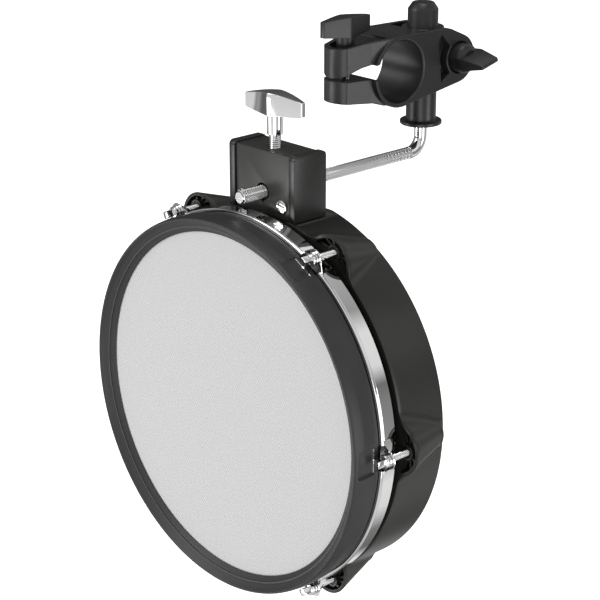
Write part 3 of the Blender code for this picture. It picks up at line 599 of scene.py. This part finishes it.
def make_tension_hoop():
    collar = SKIRT_R + 0.5
    bead = arc((HOOP_R - 0.05, HOOP_FRONT + 1.05), 1.05, 75, -90, 8)
    profile = [(HOOP_R - 0.3, HOOP_BACK), (HOOP_R, HOOP_BACK - 0.3), (HOOP_R, HOOP_FRONT + 2.9),
               (HOOP_R - 0.35, HOOP_FRONT + 2.5)] + bead
    profile += [(collar + 1.5, HOOP_FRONT), (collar + 1.5, -3), (collar, -3),
                (collar, HOOP_FRONT + 1.5), (HOOP_R - 1.5, HOOP_FRONT + 1.5),
                (HOOP_R - 1.5, HOOP_BACK)]
    hoop = lathe("hoop_band", profile, DRUM, "Y", RING_STEPS, closed=True)
    root = HOOP_R - 1.4
    plan = [(root, -10.8)] + arc((LUG_R, 0), EAR_NOSE_R, -75, 75, 24) + [(root, 10.8)]
    rows = []
    for depth, outer in ((EAR_FRONT, LUG_R + EAR_NOSE_R - 0.3), (EAR_FRONT + 0.3, LUG_R + EAR_NOSE_R),
                         (HOOP_BACK, HOOP_R + 0.1)):
        share = (outer - root) / (LUG_R + EAR_NOSE_R - root)
        rows.append([at_drum(root + (x - root) * share, depth, z) for x, z in plan])
    ear = through("ears", rows)
    cut(ear, rod("ear_holes", 2.3, 12, 27, at_drum(LUG_R, 0, 0), "Y", 24),
        block("ear_window", at_drum(110, 10, -8), at_drum(118.3, 20.6, 8)))
    notch = lug_cutter("hoop_notch", (115.2, 10, -8), (118.9, 20.6, 8), 1.4)
    cut(hoop, notch)
    lip = block("recess_lips", at_drum(115.35, 8.3, -7.3), at_drum(115.8, 9.0, 7.3))
    merge(hoop, round_lugs(ear), round_lugs(lip))
    show(hoop, "pad", "chrome", "chrome", "tension_hoop")


def boss_size(depth):
    """Outermost point, radius and fillet of a lug boss at a depth."""
    share = min(1.0, (depth - SHELL_FRONT) / (BOSS_TAPER_END - SHELL_FRONT))
    outer, radius, fillet = [a + (b - a) * share for a, b in zip(BOSS_FRONT, BOSS_BACK)]
    if depth > BOSS_TAPER_END:
        low = SHELL_R + 0.02
        end_share = (depth - BOSS_TAPER_END) / (BOSS_END - BOSS_TAPER_END)
        outer = low + (outer - low) * math.sqrt(max(0.0, 1 - end_share ** 2))
    return outer, radius, fillet


def boss_section(depth, inset):
    """Outline of a lug boss with its fillets to the round shell."""
    outer, radius, fillet_r = boss_size(depth)
    centre = outer - radius
    near = SHELL_R + fillet_r
    far = radius + fillet_r
    swing = math.acos(min(1.0, (near ** 2 + centre ** 2 - far ** 2) / (2 * near * centre)))
    fillet = (near * math.cos(swing), near * math.sin(swing))
    lean = math.degrees(math.atan2(fillet[1], fillet[0] - centre))
    side = arc(fillet, fillet_r + inset, 180 + math.degrees(swing), 180 + lean, 12)
    crown = arc((centre, 0), radius - inset, lean, -lean, 30)
    mirrored = [(x, -z) for x, z in reversed(side)]
    root = SHELL_R - WALL / 2
    foot = [(root * math.cos(a), root * math.sin(a)) for a in (-swing, -swing / 2, 0, swing / 2, swing)]
    return [at_drum(x, depth, z) for x, z in side + crown[1:-1] + mirrored + foot]


def pocket_reach(depth, angle):
    """How far a pocket reaches from the hub's axis, inside the boss's wall."""
    outer, radius, _ = boss_size(depth)
    inside = radius - 2.3
    offset = LUG_R - (outer - radius)
    turn = math.radians(angle)
    reach = math.sqrt(inside ** 2 - (offset * math.sin(turn)) ** 2) - offset * math.cos(turn)
    return max(reach, HUB_R + 0.4)


def pocket_edge(depth, first, last, count):
    """Points inside the boss's wall, between two angles round the hub."""
    edge = []
    for i in range(count + 1):
        angle = first + (last - first) * i / count
        reach = pocket_reach(depth, angle)
        turn = math.radians(angle)
        edge.append((LUG_R + reach * math.cos(turn), reach * math.sin(turn)))
    return edge


def pocket_section(depth, start, end, side):
    """One pocket between two ribs that run out from the hub."""
    half_rib = 0.7
    first = start + math.degrees(math.asin(half_rib / pocket_reach(depth, start)))
    last = end - math.degrees(math.asin(half_rib / pocket_reach(depth, end)))
    outline = pocket_edge(depth, first, last, 10)
    rib = math.degrees(math.asin(half_rib / HUB_R))
    outline += arc((LUG_R, 0), HUB_R, end - rib, start + rib, 4)
    return [at_drum(x, depth, z * side) for x, z in outline]


def rib_recess(depth):
    """The room between the hub and the boss's wall, where the ribs stand back."""
    outline = pocket_edge(depth, -110, 110, 44) + arc((LUG_R, 0), HUB_R, 110, -110, 30)
    return [at_drum(x, depth, z) for x, z in outline]


def make_shell():
    back = SHELL_BACK
    inner = NECK_R - 2.8
    profile = [(4, back), (60, back)] + arc((SHELL_R - 0.9, back - 0.9), 0.9, 90, 0, 5)
    edge = 0.55
    profile += [(SHELL_R, depth) for depth in range(63, 32, -3)]
    profile += [(SHELL_R, SHELL_FRONT + edge), (SHELL_R - 0.3 * edge, SHELL_FRONT + 0.3 * edge),
                (SHELL_R - edge, SHELL_FRONT), (NECK_R, SHELL_FRONT)]
    profile += [(NECK_R, 2.8)] + arc((NECK_R - 1.4, 2.6), 1.4, 0, -180, 8) + [(inner, 2.8)]
    profile += [(inner, SHELL_FRONT + WALL), (SHELL_R - WALL, SHELL_FRONT + WALL),
                (SHELL_R - WALL, back - WALL), (60, back - WALL), (4, back - WALL)]
    shell = lathe("shell_moulding", profile, DRUM, "Y", RING_STEPS)
    stations = [(SHELL_FRONT, edge), (SHELL_FRONT + 0.3 * edge, 0.3 * edge),
                (SHELL_FRONT + edge, 0)]
    stations += [(depth, 0) for depth in range(33, 60, 3)]
    stations += [(depth, 0) for depth in (59.4, 60, 60.8, 61.6, 62.4, 63.1, 63.6, 64.0, 64.2)]
    boss = through("bosses", [boss_section(*s) for s in stations])
    cutters = [rod("insert_hole", 3.4, 25, 46, at_drum(LUG_R, 0, 0), "Y", 24)]
    for start, end in ((0, 57), (57, 85), (85, 110)):
        for side in (-1, 1):
            rows = [pocket_section(depth, start, end, side)
                    for depth in (SHELL_FRONT - 2, SHELL_FRONT + POCKET_DEPTH)]
            cutters.append(through("pocket", rows))
    holes = round_lugs(merge(*cutters))
    recess = [rib_recess(depth) for depth in (SHELL_FRONT - 2.2, SHELL_FRONT + 2.6)]
    recesses = round_lugs(through("rib_recess", recess))
    platform = block("platform", at_drum(-30, 31, 106), at_drum(30, SHELL_BACK - 2.7, 114), 0.5)
    join(shell, round_lugs(boss), platform)
    crown = block("crown", at_drum(-40, 20, 114), at_drum(40, 70, 130))
    jack = rod("jack_hole", 5.2, 50, 80, at_drum(0, 0, middle("jack_socket").z - DRUM.z), "Y", 32)
    cut(shell, crown, holes, recesses, jack)
    show(shell, "pad", "shell", "shell_plastic", "shell")


def make_tension_rods():
    for number, angle in enumerate(LUG_ANGLES, 1):
        turn = math.radians(angle)
        axis = at_drum(LUG_R * math.cos(turn), 0, LUG_R * math.sin(turn))
        shaft = threaded(f"tension_screw_{number}", 2.0, 0.25, 0.7, 14.0, 44.0, axis, "Y", 24)
        head = block("head", axis + Vector((-2.1, 5.5, -2.1)), axis + Vector((2.1, 11.4, 2.1)),
                     0.3)
        turned(head, -angle, axis, "Y")
        flange = lathe("flange", [(3.2, 10.9), (3.75, 11.1), (3.9, 11.5), (3.9, 12.7),
                                  (3.6, 13.0)], axis, "Y", 40)
        merge(shaft, head, flange)
        show(shaft, f"tension_rod_{number}", "chrome", "chrome", f"tension_rod_{number}")
        washer = lathe(f"rod_washer_{number}", [(2.3, 13.3), (3.7, 13.3), (3.9, 13.45),
                                                (3.9, 14.45), (3.7, 14.6), (2.3, 14.6)],
                       axis, "Y", 40, closed=True)
        show(washer, "pad", "chrome", "steel", f"tension_washer_{number}")


# ------------------------------------------------------- mount box

def make_mount_box():
    low = BOX_LOW
    high = BOX_HIGH
    body = block("box_channel", low, high, 0.7)
    hollow = block("hollow", (low.x - 5, low.y + WALL, low.z - 5),
                   (high.x + 5, high.y - WALL, high.z - WALL))
    rod_z = ROD.z
    drop = [(0, rod_z - 6.4)] + arc((0, rod_z), 5.5, -32, 212, 32)
    hole = prism("rod_hole", drop, low.y - 5, high.y + 5, "Y")
    bolt = rod("bolt_hole", 4.1, high.z - 8, high.z + 5, (0, BOLT_Y, 0), "Z", 32)
    screws = []
    for number in (1, 2):
        place = middle(f"face_screw_{number}")
        screws.append(rod(f"screw_hole_{number}", 2.1, low.y - 5, low.y + 6,
                          (place.x, 0, place.z), "Y", 24))
    cut(body, hollow, hole, bolt, *screws)
    show(body, "pad", "box", "box_plastic", "mount_box")
    for side in ("left", "right"):
        name = f"end_plate_{side}"
        near, far = span(name)
        radius = 3.0
        outline = [(near.y, near.z), (far.y, near.z)]
        outline += arc((far.y - radius, far.z - radius), radius, 0, 90, 8)
        outline += arc((near.y + radius, far.z - radius), radius, 90, 180, 8)
        plate = bevel(prism(f"box_{name}", outline, near.x, far.x, "X"), 0.5, 3, 40)
        show(plate, "pad", "plate", "plate_plastic", name)
    for number in (1, 2):
        name = f"face_screw_{number}"
        place = middle(name)
        front = span(name)[0].y
        axis = (place.x, 0, place.z)
        head = lathe(f"box_{name}", [(2.6, front), (3.6, front + 0.25), (4.15, front + 0.8),
                                     (4.25, front + 1.3), (4.25, front + 1.6), (1.8, front + 1.6),
                                     (1.8, front + 12)], axis, "Y", 40)
        slot = block("slot", (place.x - 6, front - 1, place.z - 0.55),
                     (place.x + 6, front + 0.8, place.z + 0.55))
        cut(head, turned(slot, 10, axis, "Y"))
        show(head, "pad", "chrome", "chrome", name)


def handle(name, half_length, half_thick, heights, centre, angle, bulge=0.0):
    """A lozenge T-handle; heights are low and high at the middle, then at the ends."""
    rows = []
    count = 28
    for i in range(count + 1):
        reach = -1 + 2 * i / count
        share = abs(reach)
        end_thick = half_thick * 0.28
        thick = end_thick + (half_thick - end_thick) * (1 - share)
        thick += bulge * math.sin(math.pi * share)
        low = heights[0] + (heights[2] - heights[0]) * share
        high = heights[1] + (heights[3] - heights[1]) * share ** 1.6
        soft = 0.35
        x = reach * half_length
        section = arc((thick - soft, high - soft), soft, 0, 90, 6)
        section += arc((soft - thick, high - soft), soft, 90, 180, 6)
        section += arc((soft - thick, low + soft), soft, 180, 270, 6)
        section += arc((thick - soft, low + soft), soft, 270, 360, 6)
        rows.append([Vector(centre) + Vector((x, y, z)) for y, z in section])
    piece = bevel(through(name, rows), 0.3, 2, 60)
    return turned(piece, angle, centre, "Z")


def make_wing_bolt():
    low, high = span("wing_bolt")
    axis = Vector((0, BOLT_Y, 0))
    bolt = threaded("bolt", 3.7, 0.45, 1.25, low.z, high.z - 24, axis, "Z", 48)
    barrel_low = high.z - 25.6
    barrel = lathe("barrel", [(4.2, barrel_low), (4.7, barrel_low + 0.5), (4.8, barrel_low + 1),
                              (4.8, barrel_low + 12.5), (4.2, barrel_low + 13)], axis, "Z", 64)
    wings = handle("wing_handle", 22, 6, (high.z - 14, high.z, high.z - 12, high.z - 3.5),
                   axis, 6, 0.3)
    merge(wings, barrel, bolt)
    show(wings, "wing_bolt", "chrome", "chrome", "wing_bolt", angle=18)


# ------------------------------------------------------- L-rod

KNURL_STEP = 0.2
KNURL_PITCH = 1.5
KNURL_DEPTH = 0.42
KNURLS_ROUND = 17
ROD_RING = 160
BEND_R = 10.0


def rod_line(low, high):
    """Stations along the arm and up the bend, as (y, z, turn, how far the end is cut)."""
    arm_z = low.z + ROD_R
    bend_at = UPRIGHT_Y - BEND_R
    chamfer = 0.75
    line = [(low.y, arm_z, 0, chamfer), (low.y + chamfer, arm_z, 0, 0)]
    y = low.y + 1.0
    while y < bend_at - 0.5:
        line.append((y, arm_z, 0, 0))
        y += KNURL_STEP
    for i in range(19):
        turn = math.radians(90 * i / 18)
        line.append((bend_at + BEND_R * math.sin(turn), arm_z + BEND_R - BEND_R * math.cos(turn),
                     turn, 0))
    upright = math.pi / 2
    return line + [(UPRIGHT_Y, high.z - 0.6, upright, 0), (UPRIGHT_Y, high.z, upright, 0.6)]


def knurl(share, y):
    """Depth of the crossed grooves at a share of the ring and a place along the arm."""
    u = (KNURLS_ROUND * share + y / KNURL_PITCH) % 1
    v = (KNURLS_ROUND * share - y / KNURL_PITCH) % 1
    return KNURL_DEPTH * max(1 - 2.8 * min(u, 1 - u), 1 - 2.8 * min(v, 1 - v), 0)


def make_l_rod():
    low, high = span("l_rod")
    knurl_end = UPRIGHT_Y - BEND_R - 1
    rows = []
    for y, z, turn, inset in rod_line(low, high):
        row = []
        in_knurl = low.y + 0.9 < y < knurl_end and turn == 0
        for j in range(ROD_RING):
            angle = 2 * math.pi * j / ROD_RING
            radius = ROD_R - inset
            if in_knurl:
                radius -= knurl(j / ROD_RING, y)
            side = radius * math.cos(angle)
            up = radius * math.sin(angle)
            row.append((side, y - up * math.sin(turn), z + up * math.cos(turn)))
        rows.append(row)
    piece = through("bent_rod", rows)
    show(piece, "rod", "knurled", "chrome", "l_rod", angle=32)


# ------------------------------------------------------- clamp

def jaw_plan(inset):
    """Top view of the jaws: a round nose, and flanks that widen towards the ring."""
    nose = arc((0, T_BOLT_Y), JAW_END_R - inset, 218, 322, 40)
    flank = [(x - inset, y) for x, y in JAW_FLANK]
    mirrored = [(-x, y) for x, y in reversed(flank)]
    return nose + flank + mirrored


def hull_outline(circles, count=96):
    points = []
    for centre, radius in circles:
        points += arc(centre, radius, 0, 360, count)[:-1]
    return [points[i] for i in convex_hull_2d(points)]


def make_clamp():
    spine = hull_outline([((0, 0), SEAT_RING_R), ((38, 4), 17), ((50, 0.5), 15.3)])
    body = prism("clamp_moulding", spine, -CLAMP_HALF, CLAMP_HALF, "X")
    jaws = prism("jaws", JAW_SIDE, -CLAMP_HALF, CLAMP_HALF, "X")
    keep_common(jaws, prism("plan", jaw_plan(0), -FAR, FAR))
    join(body, jaws)
    flare = 0.8
    seat = lathe("seat", [(SEAT_R + flare, 25), (SEAT_R + flare, CLAMP_HALF),
                          (SEAT_R, CLAMP_HALF - flare), (SEAT_R, flare - CLAMP_HALF),
                          (SEAT_R + flare, -CLAMP_HALF), (SEAT_R + flare, -25)],
                 (0, 0, 0), "X", 128)
    slit = prism("slit", JAW_SLIT, -30, 30, "X")
    ring = arc((0, 0), SEAT_RING_R, 154.6, 114, 16)
    trough = prism("trough", [(-50, 9.5)] + ring + [(ring[-1][0], 40), (-50, 40)], -30, 30, "X")
    keep_common(trough, prism("trough_plan", jaw_plan(JAW_WALL), -FAR, FAR))
    cut(body, seat, slit, trough)
    join(body, rod("boss", 7, 9, 13.6, (0, T_BOLT_Y, 0), "Z", 48))
    tools = [
        rod("t_hole", 3.4, -30, 30, (0, T_BOLT_Y, 0), "Z", 32),
        prism("nut_seat", arc((0, 0), 6.7, 0, 360, 6)[:-1], -30, -9.5, "Z", (0, T_BOLT_Y, 0)),
        block("rear_trough", (-14.5, 21, 16.2), (14.5, 75, 40), 2, 2),
        rod("sleeve_hole", SLEEVE_R + GAP, -FAR, FAR, (0, UPRIGHT_Y, 0), "Z", 64),
        block("pinch_slot", (-1.5, UPRIGHT_Y, -40), (1.5, 80, 40)),
        rod("pinch_hole", 3.4, -40, 40, (0, PINCH.y, PINCH.z), "X", 32),
    ]
    for side in (-1, 1):
        inner = 12.0 * side
        outer = 25.0 * side
        low = min(inner, outer)
        high = max(inner, outer)
        tools.append(rod("hub_recess", 10, low, high, (0, PINCH.y, PINCH.z), "X", 64))
        ring_side = arc((PINCH.y, PINCH.z), 12, 228, 132, 20)
        outline = [(35.5, -12.5)] + ring_side[1:-1] + [(35.5, 17.5), (32.5, 14)]
        tools.append(prism("side_pocket", outline, low, high, "X"))
    cut(body, *tools)
    soften(body, 0.34, 2)
    show(body, "clamp", "clamp", "clamp_nylon", "clamp_body", angle=80)


def make_sleeve():
    low, high = span("rod_sleeve")
    bore = ROD_R + GAP
    axis = (0, UPRIGHT_Y, 0)
    roof = high.z - 2
    profile = [(bore, low.z), (FLANGE_R - 0.4, low.z), (FLANGE_R, low.z + 0.4),
               (FLANGE_R, low.z + 2.0), (FLANGE_R - 0.4, low.z + 2.4),
               (SLEEVE_R + 0.3, low.z + 2.5), (SLEEVE_R, low.z + 2.9), (SLEEVE_R, high.z - 4.2),
               (SLEEVE_R - 0.2, high.z - 3.8), (6.9, high.z - 0.3), (6.4, high.z), (1, high.z),
               (1, roof), (bore, roof)]
    sleeve = lathe("guide_sleeve", profile, axis, "Z", 96, closed=True)
    join(sleeve, rod("roof", 2, roof, high.z, axis, "Z", 48))
    show(sleeve, "sleeve", "clamp", "clamp_nylon", "rod_sleeve")
    low, high = span("sleeve_ring")
    top = high.z + 2.0
    hole = SLEEVE_R + GAP
    profile = [(hole, low.z), (FLANGE_R - 0.3, low.z), (FLANGE_R, low.z + 0.3),
               (FLANGE_R, top - 0.3), (FLANGE_R - 0.3, top), (hole, top)]
    ring = lathe("stop_ring", profile, axis, "Z", 96, closed=True)
    show(ring, "sleeve", "clamp", "clamp_nylon", "sleeve_ring")


def make_t_knob():
    low, high = span("t_knob")
    axis = Vector((0, T_BOLT_Y, 0))
    stem = rod("stem", 5.5, low.z, low.z + 11, axis, "Z", 64, 0.5)
    wings = handle("jaw_knob", 18.9, 5.7, (22.9, 35.8, 24.9, 34.4), axis, 88.3)
    join(wings, stem)
    cut(wings, rod("socket", 3.3, 5, 24, axis, "Z", 32))
    show(wings, "t_knob", "knob", "knob_plastic", "t_knob")
    low, high = span("t_bolt")
    bolt = threaded("jaw_bolt", 3.0, 0.35, 1.0, low.z, high.z, axis, "Z", 32)
    show(bolt, "t_knob", "chrome", "steel", "t_bolt")


def make_pinch_knob():
    low = span("pinch_knob")[0]
    axis = Vector((0, PINCH.y, PINCH.z))
    hub = lathe("pinch_wing", [(9.0, low.x), (9.2, low.x + 0.3), (9.2, 23.4), (8.8, 24.3),
                               (7.0, 26.2), (6.0, 26.8)], axis, "X", 64)
    rows = []
    for x, half, thick in ((20, 9.2, 3.0), (28.5, 9.2, 3.9), (42.7, 7.3, 1.4), (43.3, 6.9, 1.0)):
        section = [(half, thick), (-half, thick), (-half, -thick), (half, -thick)]
        rows.append([axis + Vector((x, u, v)) for u, v in section])
    blade = turned(bevel(through("blade", rows), 0.35, 2, 20), 13.9, axis, "X")
    join(hub, blade)
    cut(hub, rod("socket", 3.3, 5, 22, axis, "X", 32))
    show(hub, "pinch_knob", "knob", "knob_plastic", "pinch_knob")


# ------------------------------------------------------- foam under the head

def pored(piece, depth):
    """Pits a foam piece's skin with open cells."""
    texture = bpy.data.textures.new("cells", "VORONOI")
    texture.noise_scale = 1.4 * MM
    pits = piece.modifiers.new("cells", "DISPLACE")
    pits.texture = texture
    pits.texture_coords = "GLOBAL"
    pits.strength = depth * MM
    pits.mid_level = 1.0
    return settle(piece)


def make_foam():
    low, high = span("foam_cone")
    reach = high.y - low.y
    outline = [(4.6, 0), (5.0, 0.4)]
    outline += [(5.0 + 7.0 * t ** 1.1, reach * t) for t in (0.15, 0.3, 0.45, 0.6, 0.75, 0.88)]
    outline += [(11.9, reach - 0.4), (11.5, reach)]
    rows = [(radius - 0.1, low.y + height) for radius, height in curve_through(outline, 4)]
    cone = pored(lathe("foam_cone_skin", rows, (DRUM.x, 0, DRUM.z), "Y", 120), 0.25)
    show(cone, "pad", "foam", "foam", "foam_cone", angle=60)
    low, high = span("piezo_pad")
    profile = curve_through([(11.4, low.y), (11.8, low.y + 0.5), (11.8, high.y - 0.5),
                             (11.4, high.y)], 4)
    pad = pored(lathe("piezo_pad_skin", profile, (DRUM.x, 0, DRUM.z), "Y", 120), 0.2)
    show(pad, "pad", "foam", "foam", "piezo_pad", angle=60)


# ------------------------------------------------------- pieces kept from the CAD model

def finish_kept_nodes():
    kept = {
        "steel": ["flesh_hoop", "v_block", "nut_plate", "sensor_plate", "jack_nut", "saddle",
                  "t_nut", "pinch_nut", "pinch_bolt", "mount_screw_1", "mount_screw_2",
                  "plate_screw_1", "plate_screw_2", "plate_screw_3"],
        "brass": ["head_piezo", "rim_piezo"],
        "blackened": [f"lug_insert_{n}" for n in range(1, 7)],
        "wire": ["head_lead", "rim_lead"],
        "chrome": ["jack_socket"],
    }
    for look_name, nodes in kept.items():
        for name in nodes:
            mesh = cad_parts[name].data
            mesh.materials.clear()
            mesh.materials.append(LOOKS[look_name])


# ------------------------------------------------------- studio

def cards(tree, fac, tones):
    """A row of light and dark cards as (position, tone) pairs."""
    return ramp(tree, fac, [(position, grey(tone)) for position, tone in tones])


def light_room(scene):
    """A white room as the camera sees it, with light and dark cards for the plating."""
    world = bpy.data.worlds.new("studio")
    scene.world = world
    world.use_nodes = True
    tree = world.node_tree
    way = node(tree, "SeparateXYZ", Vector=node(tree, "TexCoord").outputs["Generated"])
    flat = node(tree, "CombineXYZ", X=way.outputs["X"], Y=way.outputs["Z"])
    around = node(tree, "TexGradient", {"gradient_type": "RADIAL"}, Vector=flat.outputs[0])
    behind = cards(tree, around.outputs["Fac"], (
        (0.0, 0.10), (0.08, 0.30), (0.17, 0.85), (0.21, 0.15), (0.26, 0.22), (0.31, 0.80),
        (0.36, 0.85), (0.42, 0.30), (0.50, 0.24), (0.53, 0.18), (0.56, 0.78), (0.62, 0.85),
        (0.66, 0.35), (0.76, 0.50), (0.81, 0.90), (0.86, 0.12), (0.95, 0.08)))
    height = node(tree, "MapRange", Value=way.outputs["Z"], From_Min=-1.0, From_Max=1.0)
    by_height = cards(tree, height.outputs["Result"], (
        (0.0, 0.45), (0.30, 0.80), (0.44, 0.70), (0.50, 0.25), (0.57, 0.45), (0.75, 0.75),
        (1.0, 0.5)))
    left = node(tree, "MapRange", Value=way.outputs["X"], From_Min=-1.0, From_Max=0.0)
    by_side = cards(tree, left.outputs["Result"], (
        (0.0, 1.0), (0.15, 1.0), (0.165, 0.35), (0.18, 0.5), (0.20, 0.15), (0.25, 0.22),
        (0.29, 0.9), (0.34, 1.0)))
    front = node(tree, "VectorMath", {"operation": "MULTIPLY"})
    tree.links.new(by_height, front.inputs[0])
    tree.links.new(by_side, front.inputs[1])
    depth = node(tree, "MapRange", Value=way.outputs["Y"], From_Min=-0.35, From_Max=-0.05)
    room = blended(tree, "RGBA", depth.outputs["Result"], front.outputs[0], behind)
    backdrop = node(tree, "RGB")
    backdrop.outputs[0].default_value = (1, 1, 1, 1)
    direct = node(tree, "LightPath").outputs["Is Camera Ray"]
    colour = blended(tree, "RGBA", direct, room, backdrop.outputs[0])
    shade_node = tree.nodes["Background"]
    tree.links.new(colour, shade_node.inputs["Color"])
    shade_node.inputs["Strength"].default_value = 1.0


def make_floor(scene):
    """A pale floor that only the camera sees."""
    reach = 6.0
    drop = cad_low.z - 0.25
    corners = [(-reach, -reach, drop), (reach, -reach, drop), (reach, reach, drop),
               (-reach, reach, drop)]
    mesh = bpy.data.meshes.new("floor")
    mesh.from_pydata(corners, [], [(0, 1, 2, 3)])
    floor = bpy.data.objects.new("floor", mesh)
    scene.collection.objects.link(floor)
    floor.visible_diffuse = False
    floor.visible_glossy = False
    floor.visible_shadow = False
    pale, _, shader, _ = look("pale_floor")
    shader.inputs["Base Color"].default_value = (0.9, 0.9, 0.9, 1)
    shader.inputs["Roughness"].default_value = 0.9
    shader.inputs["Emission Color"].default_value = (1, 1, 1, 1)
    shader.inputs["Emission Strength"].default_value = 0.9
    mesh.materials.append(pale)


def add_lamp(scene, name, place, aim, size, power):
    """A soft area light; places are in metres and the power is in watts."""
    light = bpy.data.lights.new(name, "AREA")
    light.shape = "RECTANGLE"
    light.size, light.size_y = size
    light.energy = power
    lamp = bpy.data.objects.new(name, light)
    lamp.location = place
    lamp.rotation_euler = (Vector(aim) - Vector(place)).to_track_quat("-Z", "Y").to_euler()
    scene.collection.objects.link(lamp)


def add_camera(scene, place):
    camera = bpy.data.cameras.new("camera")
    camera.lens = 113.93
    camera.sensor_width = 36
    camera.clip_end = 50
    holder = bpy.data.objects.new("camera", camera)
    holder.location = place
    holder.rotation_euler = (math.radians(69.934), 0, math.radians(46.858))
    scene.collection.objects.link(holder)
    scene.camera = holder


def make_studio():
    scene = bpy.context.scene
    scene.view_settings.view_transform = "Standard"
    make_floor(scene)
    light_room(scene)
    face = DRUM * MM
    add_lamp(scene, "key", (-0.9, -1.6, 1.0), face, (0.9, 0.9), 12)
    add_lamp(scene, "top", (0.1, -0.1, 1.6), face, (0.7, 0.7), 5)
    add_lamp(scene, "right_low", face + Vector((0.98, -1.05, -0.3)), face, (0.7, 1.1), 5)
    add_lamp(scene, "right_back", face + Vector((1.45, 0.45, -0.2)), face, (0.6, 0.9), 6)
    add_lamp(scene, "left_low", face + Vector((-0.80, -1.25, -0.5)), face, (0.8, 0.8), 9)
    add_camera(scene, face + Vector((0.7967, -0.6861, 0.4512)))


make_head()
make_rim_rubber()
make_tension_hoop()
make_shell()
make_tension_rods()
make_mount_box()
make_wing_bolt()
make_l_rod()
make_clamp()
make_sleeve()
make_t_knob()
make_pinch_knob()
make_foam()
finish_kept_nodes()
make_studio()

bpy.context.view_layer.update()
